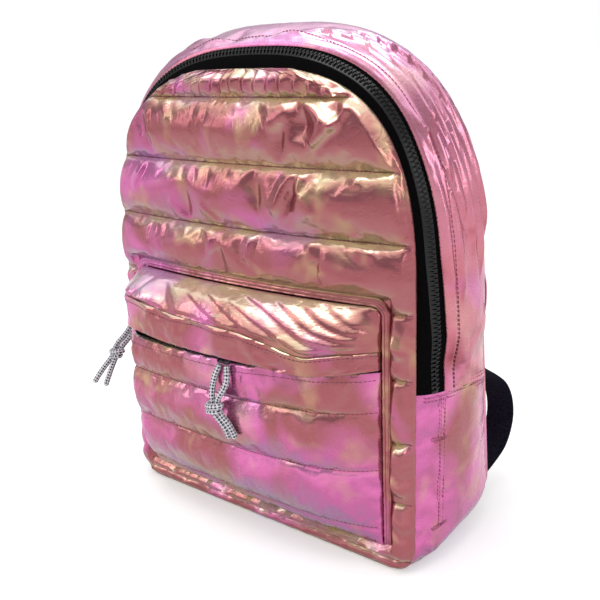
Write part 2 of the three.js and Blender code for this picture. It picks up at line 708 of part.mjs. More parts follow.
// The binding runs up one side of the pocket, across its top and down the other side
function addPocketBinding() {
  const path = [];
  const straight = (fromX, fromZ, toX, toZ, steps, outX, outZ) => {
    for (let i = 0; i <= steps; i += 1) {
      path.push({ x: mix(fromX, toX, i / steps), z: mix(fromZ, toZ, i / steps), outX, outZ });
    }
  };
  const turn = (side) => {
    for (let i = 1; i < 4; i += 1) {
      const angle = (side < 0 ? i / 4 : 1 - i / 4) * (Math.PI / 2);
      const outX = side * Math.cos(angle);
      const outZ = Math.sin(angle);
      const centreX = side * (POCKET_HALF - POCKET_CORNER);
      const centreZ = POCKET_TOP - POCKET_CORNER;
      path.push({ x: centreX + outX * POCKET_CORNER, z: centreZ + outZ * POCKET_CORNER, outX, outZ });
    }
  };
  straight(-POCKET_HALF, POCKET_BOTTOM, -POCKET_HALF, POCKET_TOP - POCKET_CORNER, 8, -1, 0);
  turn(-1);
  straight(-POCKET_HALF + POCKET_CORNER, POCKET_TOP, POCKET_HALF - POCKET_CORNER, POCKET_TOP, 14, 0, 1);
  turn(1);
  straight(POCKET_HALF, POCKET_TOP - POCKET_CORNER, POCKET_HALF, POCKET_BOTTOM, 8, 1, 0);
  const across = [0, 0.5, 1];
  const build = (rise) => path.map((spot) => across.map((share) => {
    const x = spot.x - spot.outX * BINDING_WIDTH * share;
    const z = spot.z - spot.outZ * BINDING_WIDTH * share;
    return beforeFront(x, z, onPanel(x, z) + rise(share));
  }));
  const crown = (share) => BINDING_WALL * (0.6 + 0.4 * Math.sin(Math.PI * share));
  addPiece("pocket_binding", closedWall(build(crown), build(() => 0)), colours.rose);
}

// A band through points given by side, height and distance behind the rear plane, with width and padding
function band(points, stepsBetween, across, wallAt) {
  const curve = new THREE.CatmullRomCurve3(
    points.map((p) => behindBack(p.side, p.up, p.out)), false, "centripetal",
  );
  const outer = [];
  const inner = [];
  const steps = stepsBetween * (points.length - 1);
  const rows = points.map((p, i) => ({ at: i / (points.length - 1), width: p.width, pad: p.pad }));
  for (let i = 0; i <= steps; i += 1) {
    const share = i / steps;
    const centre = curve.getPoint(share);
    const along = curve.getTangent(share);
    const normal = new THREE.Vector3(0, -along.z, along.y).normalize();
    const half = readTable(rows, share, "width") / 2;
    const outerRow = [];
    const innerRow = [];
    across.forEach((place) => {
      const wall = wallAt(readTable(rows, share, "pad"), place) / 2;
      const spot = centre.clone().add(new THREE.Vector3(half * place, 0, 0));
      outerRow.push(spot.clone().addScaledVector(normal, wall));
      innerRow.push(spot.clone().addScaledVector(normal, -wall));
    });
    outer.push(outerRow);
    inner.push(innerRow);
  }
  return closedWall(outer, inner);
}

// The padded strap: side and height between its top and the buckle, distance behind the bag, and width
const strapTable = [
  { at: 0, side: 0, out: 0.29, width: 0.8, pad: 0.5 },
  { at: 0.1, side: 0.04, out: 1.1, width: 0.92, pad: 1 },
  { at: 0.3, side: 0.26, out: 2.2, width: 1, pad: 1 },
  { at: 0.55, side: 0.58, out: 2.6, width: 1, pad: 1 },
  { at: 0.8, side: 0.9, out: 2.3, width: 0.82, pad: 1 },
  { at: 0.93, side: 1, out: 2, width: 0.56, pad: 0.35 },
  { at: 0.97, side: 1, out: 2, width: 0.46, pad: 0 },
  { at: 1, side: 1, out: 2, width: 0.44, pad: 0 },
];

function addStrap(name, side) {
  const backFace = BACK_WALL + BACK_PUFF + GAP;
  const lowEnd = BUCKLE_HEIGHT_ABOVE_BASE + BUCKLE_HEIGHT / 2 - BUCKLE_BAR;
  const tabOut = BUCKLE_FROM_BACK + BUCKLE_WALL / 2 + GAP + STRAP_TAB / 2;
  const points = strapTable.map((row) => ({
    side: side * mix(STRAP_TOP_SIDE, BUCKLE_SIDE, row.side),
    up: mix(STRAP_TOP_HEIGHT, lowEnd, row.at),
    out: backFace + (row.at > 0.9 ? tabOut : row.out * STRAP_THICKNESS),
    width: STRAP_WIDTH * row.width,
    pad: (STRAP_THICKNESS - STRAP_TAB) * row.pad,
  }));
  const crown = (pad, place) => STRAP_TAB + pad * Math.sqrt(Math.max(0, 1 - place ** 2));
  const geometry = band(points, 2, [-1, -0.85, -0.5, 0, 0.5, 0.85, 1], crown);
  addPiece(name, geometry, colours.pink);
}

function roundedRectangle(width, height, radius) {
  const shape = new THREE.Shape();
  const x = width / 2;
  const y = height / 2;
  shape.moveTo(-x + radius, -y);
  shape.lineTo(x - radius, -y);
  shape.quadraticCurveTo(x, -y, x, -y + radius);
  shape.lineTo(x, y - radius);
  shape.quadraticCurveTo(x, y, x - radius, y);
  shape.lineTo(-x + radius, y);
  shape.quadraticCurveTo(-x, y, -x, y - radius);
  shape.lineTo(-x, -y + radius);
  shape.quadraticCurveTo(-x, -y, -x + radius, -y);
  return shape;
}

function rectangularHole(width, height, centreY) {
  const hole = new THREE.Path();
  hole.moveTo(-width / 2, centreY - height / 2);
  hole.lineTo(-width / 2, centreY + height / 2);
  hole.lineTo(width / 2, centreY + height / 2);
  hole.lineTo(width / 2, centreY - height / 2);
  hole.closePath();
  return hole;
}

const plate = (shape, depth) => {
  return new THREE.ExtrudeGeometry(shape, { depth, bevelEnabled: false, curveSegments: 3 });
};

// A three-bar buckle that hangs upright behind the bag, its plate facing backwards
function addBuckle(name, side) {
  const shape = roundedRectangle(BUCKLE_WIDTH, BUCKLE_HEIGHT, BUCKLE_BAR / 2);
  const slotWidth = WEBBING_WIDTH + BUCKLE_BAR / 2;
  const slotPlace = (BUCKLE_SLOT + BUCKLE_BAR) / 2;
  shape.holes.push(rectangularHole(slotWidth, BUCKLE_SLOT, slotPlace));
  shape.holes.push(rectangularHole(slotWidth, BUCKLE_SLOT, -slotPlace));
  const geometry = plate(shape, BUCKLE_WALL);
  geometry.translate(0, 0, -BUCKLE_WALL / 2);
  const mesh = addPiece(name, geometry, colours.black);
  const out = BACK_WALL + BACK_PUFF + GAP + BUCKLE_FROM_BACK;
  mesh.rotation.x = Math.PI / 2 + Math.atan(REAR_LEAN / LEAN_OVER);
  mesh.position.copy(behindBack(side * BUCKLE_SIDE, BUCKLE_HEIGHT_ABOVE_BASE, out));
}

// The webbing: from its sewn foot it bows out behind the bag, then weaves through the buckle
const webbingBow = [
  { up: 0, side: 0, out: 0 },
  { up: 0.02, side: 0.05, out: 0.3 },
  { up: 0.14, side: 0.3, out: 0.78 },
  { up: 0.4, side: 0.45, out: 1 },
  { up: 0.7, side: 0.2, out: 0.88 },
];

function addWebbing(name, side) {
  const backFace = BACK_WALL + BACK_PUFF + GAP;
  const footOut = backOuter(WEBBING_FOOT_SIDE - WEBBING_WIDTH / 2, WEBBING_FOOT_HEIGHT) + GAP;
  const buckleLow = BUCKLE_HEIGHT_ABOVE_BASE - BUCKLE_HEIGHT / 2;
  const bowSide = WEBBING_FOOT_SIDE + WEBBING_WIDTH / 4;
  const points = webbingBow.map((row) => ({
    side: side * mix(WEBBING_FOOT_SIDE, bowSide, row.side * 2),
    up: mix(WEBBING_FOOT_HEIGHT, buckleLow, row.up),
    out: footOut + row.out * WEBBING_REACH,
  }));
  const clear = BUCKLE_WALL / 2 + GAP + WEBBING_WALL / 2 + GAP;
  const bar = BUCKLE_SLOT + BUCKLE_BAR;
  const edge = BUCKLE_BAR / 2;
  [
    { up: -bar - BUCKLE_BAR * 1.5, out: -clear * 1.3 },
    { up: -bar - edge, out: -clear },
    { up: -bar + edge, out: -clear },
    { up: -edge, out: clear },
    { up: edge, out: clear },
    { up: bar - edge, out: -clear },
    { up: bar, out: -clear },
  ].forEach((row) => points.push({
    side: side * BUCKLE_SIDE,
    up: BUCKLE_HEIGHT_ABOVE_BASE + row.up,
    out: backFace + BUCKLE_FROM_BACK + row.out,
  }));
  const wide = points.map((point) => ({ ...point, width: WEBBING_WIDTH, pad: 0 }));
  addPiece(name, band(wide, 4, [-1, 1], () => WEBBING_WALL), colours.black);
}

// The haul loop: webbing on edge, bowed out behind the top of the back panel
function addHaulLoop() {
  const outer = [];
  const inner = [];
  const steps = 12;
  const low = HAUL_HEIGHT - WEBBING_WIDTH;
  const foot = (x, z) => backOuter(x, z) + GAP;
  for (let i = 0; i <= steps; i += 1) {
    const share = i / steps;
    const x = mix(-HAUL_SPAN / 2, HAUL_SPAN / 2, share);
    const bow = HAUL_REACH * smooth(Math.min(share, 1 - share) / 0.3);
    const row = (wall) => [low, HAUL_HEIGHT].map((z) => behindBack(x, z, foot(x, z) + bow + wall));
    outer.push(row(WEBBING_WALL));
    inner.push(row(0));
  }
  addPiece("haul_loop", closedWall(outer, inner), colours.black);
}

// A zip slider with its pull ring, its long side along +Z of its own frame and its face towards -Y
function sliderGeometry() {
  const shape = roundedRectangle(SLIDER_WIDTH, SLIDER_LENGTH, SLIDER_WIDTH / 4);
  const body = plate(shape, SLIDER_WALL);
  body.rotateX(Math.PI / 2);
  const bridge = new THREE.BoxGeometry(SLIDER_WALL, SLIDER_WALL, SLIDER_LENGTH * 0.6);
  bridge.translate(0, -SLIDER_WALL * 1.2, 0);
  const ring = ringGeometry();
  ring.translate(0, 0, -RING_LENGTH / 2);
  ring.rotateX(-RING_SWING);
  ring.translate(0, -SLIDER_WALL * 1.2, RING_WIRE * 0.9 - SLIDER_LENGTH * 0.3);
  return geometryOf(solidOf(body).add(solidOf(bridge)).add(solidOf(ring)));
}

// The wire ring that the pull cord hangs from
function ringGeometry() {
  const shape = roundedRectangle(RING_WIDTH, RING_LENGTH, RING_LENGTH / 3);
  shape.holes.push(rectangularHole(RING_WIDTH - 2 * RING_WIRE, RING_LENGTH - 2 * RING_WIRE, 0));
  const ring = plate(shape, RING_WIRE);
  ring.rotateX(Math.PI / 2);
  return ring;
}

function cordTube(points) {
  const curve = new THREE.CatmullRomCurve3(points.map((p) => new THREE.Vector3(...p)), false, "centripetal");
  const section = new THREE.Shape();
  for (let i = 0; i < CORD_SIDES; i += 1) {
    const angle = (i / CORD_SIDES) * Math.PI * 2;
    const x = (Math.cos(angle) * CORD_DIAMETER) / 2;
    const y = (Math.sin(angle) * CORD_DIAMETER) / 2;
    if (i) section.lineTo(x, y);
    else section.moveTo(x, y);
  }
  section.closePath();
  const steps = Math.max(4, Math.round(curve.getLength() / (CORD_DIAMETER * 1.4)));
  return new THREE.ExtrudeGeometry(section, { steps, extrudePath: curve, bevelEnabled: false });
}

// A tied knot: a flattened ball with three slanting turns of cord round it
function knotGeometry(centre) {
  const ball = new THREE.SphereGeometry(KNOT_WIDTH / 2, 12, 6);
  const place = ball.getAttribute("position");
  const spot = new THREE.Vector3();
  for (let i = 0; i < place.count; i += 1) {
    spot.fromBufferAttribute(place, i);
    const turn = Math.atan2(spot.y, spot.x) * 3 + (spot.z / KNOT_WIDTH) * 4;
    const reach = 1 - 0.09 * (1 - Math.cos(turn)) * (1 - Math.abs((2 * spot.z) / KNOT_WIDTH) ** 3);
    place.setXYZ(i, spot.x * reach, spot.y * reach * 0.72, spot.z * 0.8);
  }
  ball.translate(...centre);
  return facingOut(mergedPositions(ball));
}

function mergedPositions(geometry) {
  geometry.deleteAttribute("normal");
  geometry.deleteAttribute("uv");
  return mergeVertices(geometry, 1e-4);
}

// Pull cord routes: hand-chosen points from the ring down to the knot, and from the knot to the tails' ends,
// all measured from the slider that the cord hangs from
const pocketPull = {
  name: "pocket_pull",
  knot: [-4, -16.61, -42.5],
  strandA: [
    [-4, -7.41, -9.2], [-4.5, -8.21, -11.9], [-6.2, -10.41, -17.5], [-7.4, -12.41, -24.5],
    [-7.2, -14.81, -31], [-6.6, -15.81, -35.6],
  ],
  strandB: [
    [4, -7.41, -9.2], [4.5, -8.21, -11.9], [6, -10.41, -17.5], [5.4, -12.41, -24], [2.4, -14.81, -30.5],
    [-0.4, -15.81, -35.6],
  ],
  tailA: [[-3.6, -16.31, -50], [-0.2, -14.81, -55.5], [3.4, -13.41, -61.7], [5.4, -12.21, -69.5]],
  tailB: [[1.7, -16.41, -47.5], [6.2, -14.81, -53.9], [9.6, -13.41, -60.5], [12, -12.21, -68]],
};
const mainPull = {
  name: "main_pull",
  knot: [-12.23, -24.35, -36.65],
  strandA: [
    [-7.03, -4.35, -9.45], [-8.83, -8.35, -15.65], [-12.23, -13.75, -23.25], [-15.53, -20.15, -29.85],
  ],
  strandB: [
    [-7.03, 4.05, -10.25], [-7.23, -1.35, -17.05], [-7.83, -11.35, -25.05], [-9.53, -20.35, -32.05],
  ],
  tailA: [
    [-16.53, -27.85, -41.05], [-18.83, -34.35, -47.65], [-20.63, -41.35, -54.65], [-21.83, -47.95, -61.65],
  ],
  tailB: [
    [-10.23, -28.95, -40.95], [-9.43, -34.95, -47.65], [-8.63, -40.75, -55.05], [-8.23, -45.75, -62.65],
  ],
};

function addPullCord(pull, slider) {
  const geometries = {
    strand_a: cordTube(pull.strandA),
    strand_b: cordTube(pull.strandB),
    tail_a: cordTube(pull.tailA),
    tail_b: cordTube(pull.tailB),
    knot: knotGeometry(pull.knot),
  };
  Object.entries(geometries).forEach(([word, geometry]) => {
    addPiece(`${pull.name}_${word}`, geometry, colours.fleck).position.copy(slider.position);
  });
}

function addPocketSlider() {
  const height = POCKET_CHAIN_HEIGHT - POCKET_CHAIN_WIDTH / 2;
  const stand = onPanel(POCKET_SLIDER_SIDE, height) + POCKET_ZIP_WALL + POCKET_DEPTH * POCKET_ZIP_REACH;
  const slider = addPiece("pocket_slider", sliderGeometry(), colours.metal);
  slider.position.copy(beforeFront(POCKET_SLIDER_SIDE, height, stand + GAP));
  return slider;
}

function addMainSlider() {
  const station = { ...upperHalves.left[0], along: 0 };
  const centre = chainCentreAt(station);
  const slider = addPiece("main_slider", sliderGeometry(), colours.metal);
  slider.rotation.z = -Math.PI / 2;
  slider.position.copy(skinPoint({ ...station, share: 0.16 }, centre, CHAIN_PROUD + 3 * GAP));
  return slider;
}

addBody();
addFrontPanel();
addBackPanel();
addPocket();
addPocketBinding();
[["right", 1], ["left", -1]].forEach(([word, side]) => {
  addStrap(`shoulder_strap_${word}`, side);
  addBuckle(`strap_buckle_${word}`, side);
  addWebbing(`strap_webbing_${word}`, side);
});
addHaulLoop();
addPullCord(pocketPull, addPocketSlider());
addPullCord(mainPull, addMainSlider());

// The origin is at the middle of the bag's box, on the surface that it stands on, measured without the cords
function centreOnBase() {
  const box = new THREE.Box3();
  backpack.updateMatrixWorld(true);
  backpack.children.filter((mesh) => !/_pull_(strand|tail|knot)/.test(mesh.name)).forEach((mesh) => {
    box.expandByObject(mesh, true);
  });
  const middle = box.getCenter(new THREE.Vector3());
  backpack.position.set(-middle.x, -middle.y, -box.min.z);
}
centreOnBase();

export default backpack;
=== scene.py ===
"""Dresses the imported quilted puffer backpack: metres, +Z up, front towards -Y."""

import math

import bpy
import numpy as np
from mathutils import Matrix, Vector


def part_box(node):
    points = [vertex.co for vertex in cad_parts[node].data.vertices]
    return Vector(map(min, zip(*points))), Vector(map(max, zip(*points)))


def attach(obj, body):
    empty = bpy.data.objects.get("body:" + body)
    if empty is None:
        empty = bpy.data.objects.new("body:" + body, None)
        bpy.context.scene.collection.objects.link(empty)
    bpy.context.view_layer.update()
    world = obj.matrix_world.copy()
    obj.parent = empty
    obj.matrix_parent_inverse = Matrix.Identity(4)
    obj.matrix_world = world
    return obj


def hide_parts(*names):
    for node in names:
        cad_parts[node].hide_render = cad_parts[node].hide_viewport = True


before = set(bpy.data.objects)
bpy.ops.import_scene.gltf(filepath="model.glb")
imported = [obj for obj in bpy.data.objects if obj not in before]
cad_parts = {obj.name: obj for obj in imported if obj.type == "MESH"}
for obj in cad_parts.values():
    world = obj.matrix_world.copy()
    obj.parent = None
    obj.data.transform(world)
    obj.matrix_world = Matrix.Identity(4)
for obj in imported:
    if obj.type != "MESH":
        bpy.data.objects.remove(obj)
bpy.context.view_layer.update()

# Driving dimensions of the bag's body
FRONT_WIDTH = 0.298
FRONT_HEIGHT = 0.381
REAR_WIDTH = 0.316
REAR_HEIGHT = 0.408
BASE_DEPTH = 0.110
FRONT_LEAN = 0.009
REAR_LEAN = 0.040
LEAN_OVER = 0.400
ARCH_START = 0.210
ARCH_POWER = 3
FRONT_CORNER = 0.018
REAR_CORNER = 0.038
SIDE_SEAM_FRONT = 0.149
SIDE_SEAM_REAR = 0.136
SIDE_BULGE = 0.008
SIDE_SWELL = 0.6
GAP = 0.0003

# Quilted front panel
SEAM_PITCH = 0.050
LOWEST_SEAM = 0.010
SEAM_WALL = 0.003
CHANNEL_PUFF = 0.009
PANEL_BOW = 0.012
PUFF_POWER = 0.42
TOP_GATHER_FROM = 0.360
PLEATS_FROM = 0.3615
PLEAT_HEIGHT = 0.0017
PLEAT_PITCH = 0.0115
SLANT_HEIGHT = 0.0028
SLANT_PITCH = 0.0100

# Back panel
BACK_WALL = 0.004
BACK_PUFF = 0.008

# Gusset and main zip
GUSSET_WALL = 0.0024
GUSSET_LIFT = 0.002
TAPE_WALL = 0.0015
ZIP_BAND = 0.038
CHAIN_WIDTH = 0.006
CHAIN_PROUD = 0.001
TOOTH_PITCH = 0.0034
TOOTH_HEIGHT = 0.0022
TOOTH_LENGTH_SHARE = 0.42
TOOTH_WIDTH_SHARE = 0.58
STITCH_FROM_ZIP = 0.0080
STITCH_DIP = 0.0008
STITCH_DIP_HALF = 0.0018
ZIP_ROLL_FROM_ZIP = 0.004
ZIP_ROLL_HEIGHT = 0.0020
ZIP_ROLL_HALF = 0.003

# Topstitching down the lower sides, at distances behind the front seam, and its bar tacks
TOPSTITCH_PLACES = (0.020, 0.0245)
TOPSTITCH_LOW = 0.03
TOPSTITCH_HIGH = 0.146
TACK_HEIGHTS = (0.031, 0.108)
TACK_FROM = 0.013
TACK_TO = 0.030
TACK_SPREAD = 0.0007

# Front pocket
POCKET_WIDTH = 0.264
POCKET_BOTTOM = 0.021
POCKET_TOP = 0.221
POCKET_DEPTH = 0.028
POCKET_CORNER = 0.014
BINDING_WIDTH = 0.007
BINDING_WALL = 0.0022
RIDGE_HEIGHT = 0.190
RIDGE_DIP = 0.0125
FLAP_WIDTH = 0.024
FLAP_WALL = 0.0024
POCKET_WALL = 0.003
POCKET_PUFF = 0.006
POCKET_ZIP_BOTTOM = 0.157
POCKET_ZIP_RISE = 0.0085
POCKET_ZIP_WALL = 0.0015
POCKET_ZIP_REACH = 0.78
POCKET_CHAIN_WIDTH = 0.005
POCKET_CHAIN_HEIGHT = 0.170
POCKET_TOOTH_PITCH = 0.0026
POCKET_TOOTH_LENGTH = 0.0011
POCKET_TOOTH_HEIGHT = 0.0010
POCKET_TEETH_INSET = 0.004

# Straps, webbing and haul loop
STRAP_WIDTH = 0.062
STRAP_THICKNESS = 0.013
STRAP_TAB = 0.002
WEBBING_WIDTH = 0.025
WEBBING_WALL = 0.0014
BUCKLE_BAR = 0.0045
BUCKLE_SLOT = 0.008
BUCKLE_WALL = 0.0034
BUCKLE_HEIGHT_ABOVE_BASE = 0.146
BUCKLE_FROM_BACK = 0.026
BUCKLE_SIDE = 0.124
STRAP_TOP_SIDE = 0.062
STRAP_TOP_HEIGHT = 0.372
WEBBING_FOOT_SIDE = 0.138
WEBBING_FOOT_HEIGHT = 0.027
WEBBING_REACH = 0.052
HAUL_SPAN = 0.066
HAUL_REACH = 0.022
HAUL_HEIGHT = 0.384

# Pull cords
CORD_DIAMETER = 0.005

# Fineness of the meshes and of the simulation
GRID = 0.0027
FINE_GRID = 0.0021
GUSSET_GRID = 0.0013
SIM_FRAMES = 24
CLOTH_MASS = 0.01
CLOTH_BENDING = 0.01
CLOTH_STIFFNESS = 25

HALF_FRONT = FRONT_WIDTH / 2
POCKET_HALF = POCKET_WIDTH / 2
PANEL_HALF = POCKET_HALF - BINDING_WIDTH - GAP
BINDING_LOW = POCKET_TOP - BINDING_WIDTH - GAP
FLAP_BOTTOM = RIDGE_HEIGHT - FLAP_WIDTH
BUCKLE_HEIGHT = 3 * BUCKLE_BAR + 2 * BUCKLE_SLOT

FRONT = {
    "half": HALF_FRONT, "height": FRONT_HEIGHT, "corner": FRONT_CORNER, "seam": SIDE_SEAM_FRONT,
    "base": -BASE_DEPTH / 2, "lean": FRONT_LEAN,
}
REAR = {
    "half": REAR_WIDTH / 2, "height": REAR_HEIGHT, "corner": REAR_CORNER, "seam": SIDE_SEAM_REAR,
    "base": BASE_DEPTH / 2, "lean": -REAR_LEAN,
}


def frame_shift():
    """The bag is worked out round its own middle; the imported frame's origin lies a little beside that."""
    panel_low, panel_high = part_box("front_panel")
    base_low, base_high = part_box("lower_gusset")
    return np.array([(panel_low.x + panel_high.x) / 2, (base_low.y + base_high.y) / 2, 0.0])


SHIFT = frame_shift()


def mix(a, b, share):
    return a + (b - a) * share


def smooth(share):
    s = np.clip(share, 0, 1)
    return s * s * (3 - 2 * s)


def bump(distance):
    return np.exp(-np.square(distance))


def read_table(table, place, column):
    return np.interp(place, [row["at"] for row in table], [row[column] for row in table])


def read_soft(table, place, column, blur):
    """Reads a table with its corners rounded over a distance."""
    offsets = (-2, -1, 0, 1, 2)
    weights = (1, 4, 6, 4, 1)
    total = sum(w * read_table(table, place + o * blur, column) for o, w in zip(offsets, weights))
    return total / sum(weights)


def named_rows(columns, *rows):
    """Rows of numbers under named columns."""
    return [dict(zip(columns.split(), row)) for row in rows]


def run_length(points):
    """Distances along a line of points from its first one."""
    return np.concatenate([[0], np.cumsum(np.linalg.norm(np.diff(points, axis=0), axis=1))])


def resample(rows, length, places):
    """Rows of numbers that stand at given lengths, read at other places."""
    return np.stack([np.interp(places, length, rows[:, k]) for k in range(rows.shape[1])], -1)


class Ripple:
    """Smooth seeded noise along one or two directions, between -1 and 1."""

    cells = 257

    def __init__(self, seed):
        self.values = np.random.default_rng(seed).uniform(-1, 1, (self.cells, self.cells))

    def at(self, u, v=0.0):
        u, v = np.broadcast_arrays(np.asarray(u, float), np.asarray(v, float))
        iu, iv = np.floor(u).astype(int), np.floor(v).astype(int)
        fu, fv = smooth(u - iu), smooth(v - iv)
        corner = lambda i, j: self.values[i % self.cells, j % self.cells]
        low = mix(corner(iu, iv), corner(iu + 1, iv), fu)
        high = mix(corner(iu, iv + 1), corner(iu + 1, iv + 1), fu)
        return mix(low, high, fv)


def puckers(along, distance, seed, height, reach, pitch):
    """Gathers that stand square to a seam and die away from it. All lengths in metres."""
    ripple = Ripple(seed)
    drift = along + 0.35 * distance * ripple.at(along / 0.07, 7.3)
    fine = ripple.at(drift / pitch, distance / 0.05)
    coarse = ripple.at(drift / (2.7 * pitch), 3.1)
    strength = 0.55 + 0.45 * ripple.at(along / 0.05, 11.7)
    shape = fine + 0.7 * coarse
    fade = np.exp(-distance / (reach * (0.75 + 0.5 * np.abs(coarse)))) * smooth(distance / 0.003)
    return height * shape * strength * fade


# Outlines and the side skin

def plane_y(outline, z):
    return outline["base"] + outline["lean"] * z / LEAN_OVER


def half_at(outline, z):
    """Half the width of an outline at a height."""
    half, height, corner = outline["half"], outline["height"], outline["corner"]
    z = np.asarray(z, float)
    low = half - corner + np.sqrt(np.maximum(0, corner**2 - (corner - np.minimum(z, corner)) ** 2))
    up = np.clip((z - ARCH_START) / (height - ARCH_START), 0, 1)
    arch = half * (1 - up**ARCH_POWER) ** (1 / ARCH_POWER)
    return np.where(z < corner, low, np.where(z <= ARCH_START, half, arch))


def outline_leg(outline, leg, share):
    """Points of one leg of an outline with their outward directions, as columns x, z, out x, out z."""
    half, height, corner, seam = (outline[key] for key in ("half", "height", "corner", "seam"))
    one = np.ones_like(share)
    if leg == "base":
        return np.stack([mix(0, half - corner, share), 0 * one, 0 * one, -one], -1)
    if leg == "corner":
        angle = (share - 1) * math.pi / 2
        out_x, out_z = np.cos(angle), np.sin(angle)
        return np.stack([half - corner + corner * out_x, corner + corner * out_z, out_x, out_z], -1)
    if leg == "lower":
        return np.stack([half * one, mix(corner, seam - GAP / 2, share), one, 0 * one], -1)
    if leg == "upper":
        return np.stack([half * one, mix(seam + GAP / 2, ARCH_START, share), one, 0 * one], -1)
    rise = height - ARCH_START
    angle = share * math.pi / 2
    x = half * np.abs(np.cos(angle)) ** (2 / ARCH_POWER)
    up = rise * np.abs(np.sin(angle)) ** (2 / ARCH_POWER)
    slope_x = (x / half) ** (ARCH_POWER - 1) / half
    slope_z = (up / rise) ** (ARCH_POWER - 1) / rise
    size = np.hypot(slope_x, slope_z)
    return np.stack([x, ARCH_START + up, slope_x / size, slope_z / size], -1)


def half_path(legs, spacing):
    """One half of the front and rear outlines at even steps, with the bulge of each place."""
    share = np.linspace(0, 1, 500)
    rows = []
    for leg in legs:
        bulge = {
            "base": 0 * share, "corner": smooth(share), "lower": 1 + 0 * share,
            "upper": 1 + SIDE_SWELL * smooth((share - 0.25) / 0.5),
            "arch": 1 + SIDE_SWELL * smooth(1 - share / 0.4),
        }[leg]
        rows.append(np.column_stack([outline_leg(FRONT, leg, share), outline_leg(REAR, leg, share), bulge]))
    rows = np.concatenate(rows)
    step = np.hypot(np.diff(rows[:, 0]), np.diff(rows[:, 1]))
    step = step + np.hypot(np.diff(rows[:, 4]), np.diff(rows[:, 5]))
    length = np.concatenate([[0], np.cumsum(step / 2)])
    even = np.linspace(0, length[-1], round(length[-1] / spacing) + 1)
    return resample(rows, length, even)


def whole_path(legs, spacing, top_first):
    """Both halves in one run. The upper run starts at the right side seam, the lower one at the left."""
    half = half_path(legs, spacing)
    side = np.ones(len(half))
    if top_first:
        rows, sides = np.concatenate([half, half[-2::-1]]), np.concatenate([side, -side[1:]])
    else:
        rows, sides = np.concatenate([half[:0:-1], half]), np.concatenate([-side[1:], side])
    a, b = rows[:, 0:4], rows[:, 4:8]
    ay, by = plane_y(FRONT, a[:, 1]), plane_y(REAR, b[:, 1])
    front_x = sides * a[:, 0]
    step = np.hypot(np.diff(front_x), np.diff(a[:, 1]))
    length = np.concatenate([[0], np.cumsum(step)])
    whole = length / length[-1]
    depth = np.sqrt((b[:, 0] - a[:, 0]) ** 2 + (b[:, 1] - a[:, 1]) ** 2 + (by - ay) ** 2)
    return {
        "a": a, "b": b, "ay": ay, "by": by, "bulge": rows[:, 8], "side": sides, "depth": depth,
        "whole": whole, "along": 1 - np.abs(1 - 2 * whole), "length": length,
    }


def skin(path, from_front, lift):
    """Points of the side skin at distances behind the front outline, lifted outwards."""
    a, b = path["a"][:, None, :], path["b"][:, None, :]
    share = np.clip(from_front / path["depth"][:, None], 0, 1)
    crown = 1 - (1 - 2 * share) ** 4
    out = SIDE_BULGE * path["bulge"][:, None] * crown + lift
    x = mix(a[..., 0], b[..., 0], share) + mix(a[..., 2], b[..., 2], share) * out
    y = mix(path["ay"][:, None], path["by"][:, None], share)
    z = mix(a[..., 1], b[..., 1], share) + mix(a[..., 3], b[..., 3], share) * out
    return np.stack([path["side"][:, None] * x, y, z], -1)


# Meshes

def piece_from(name, points, faces, material, uv=None, smooth_below=75):
    """An object from points in the bag's own frame, riding on the bag."""
    mesh = bpy.data.meshes.new(name)
    placed = np.asarray(points, float).reshape(-1, 3) + SHIFT
    mesh.from_pydata(placed.tolist(), [], [tuple(face) for face in faces])
    mesh.validate()
    if uv is not None:
        layer = mesh.uv_layers.new(name="UVMap")
        loops = np.empty(len(mesh.loops), int)
        mesh.loops.foreach_get("vertex_index", loops)
        layer.data.foreach_set("uv", np.asarray(uv, float).reshape(-1, 2)[loops].ravel())
    mesh.polygons.foreach_set("use_smooth", [True] * len(mesh.polygons))
    mesh.set_sharp_from_angle(angle=math.radians(smooth_below))
    mesh.materials.append(material)
    piece = bpy.data.objects.new(name, mesh)
    bpy.context.scene.collection.objects.link(piece)
    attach(piece, "root")
    return piece


def facing_out(points, faces):
    """Faces turned round where the closed mesh is inside out."""
    p = np.asarray(points).reshape(-1, 3)
    f = np.asarray(faces)
    middle = p.mean(0)
    a, b, c, d = (p[f[:, k]] - middle for k in range(4))
    volume = np.einsum("ij,ij->i", a, np.cross(b, c)).sum() + np.einsum("ij,ij->i", a, np.cross(c, d)).sum()
    return f if volume > 0 else f[:, ::-1]


def grid_faces(rows, columns, start=0):
    i, j = np.meshgrid(np.arange(rows - 1), np.arange(columns - 1), indexing="ij")
    first = (start + i * columns + j).ravel()
    return np.stack([first, first + 1, first + columns + 1, first + columns], -1)


def wall(outer, inner):
    """Points, faces and grid coordinates of a closed wall between two grids."""
    rows, columns = outer.shape[:2]
    count = rows * columns
    front = grid_faces(rows, columns)
    back = grid_faces(rows, columns, count)[:, ::-1]
    j = np.arange(columns - 1)
    i = np.arange(rows - 1)
    first, last = j, (rows - 1) * columns + j
    left, right = i * columns, i * columns + columns - 1
    rims = [
        np.stack([first + 1, first, first + count, first + 1 + count], -1),
        np.stack([last, last + 1, last + 1 + count, last + count], -1),
        np.stack([left, left + columns, left + columns + count, left + count], -1),
        np.stack([right + columns, right, right + count, right + columns + count], -1),
    ]
    points = np.concatenate([outer.reshape(-1, 3), inner.reshape(-1, 3)])
    faces = facing_out(points, np.concatenate([front, back, *rims]))
    v, u = np.meshgrid(np.linspace(0, 1, rows), np.linspace(0, 1, columns), indexing="ij")
    uv = np.tile(np.stack([u.ravel(), v.ravel()], -1), (2, 1))
    return points, faces, uv


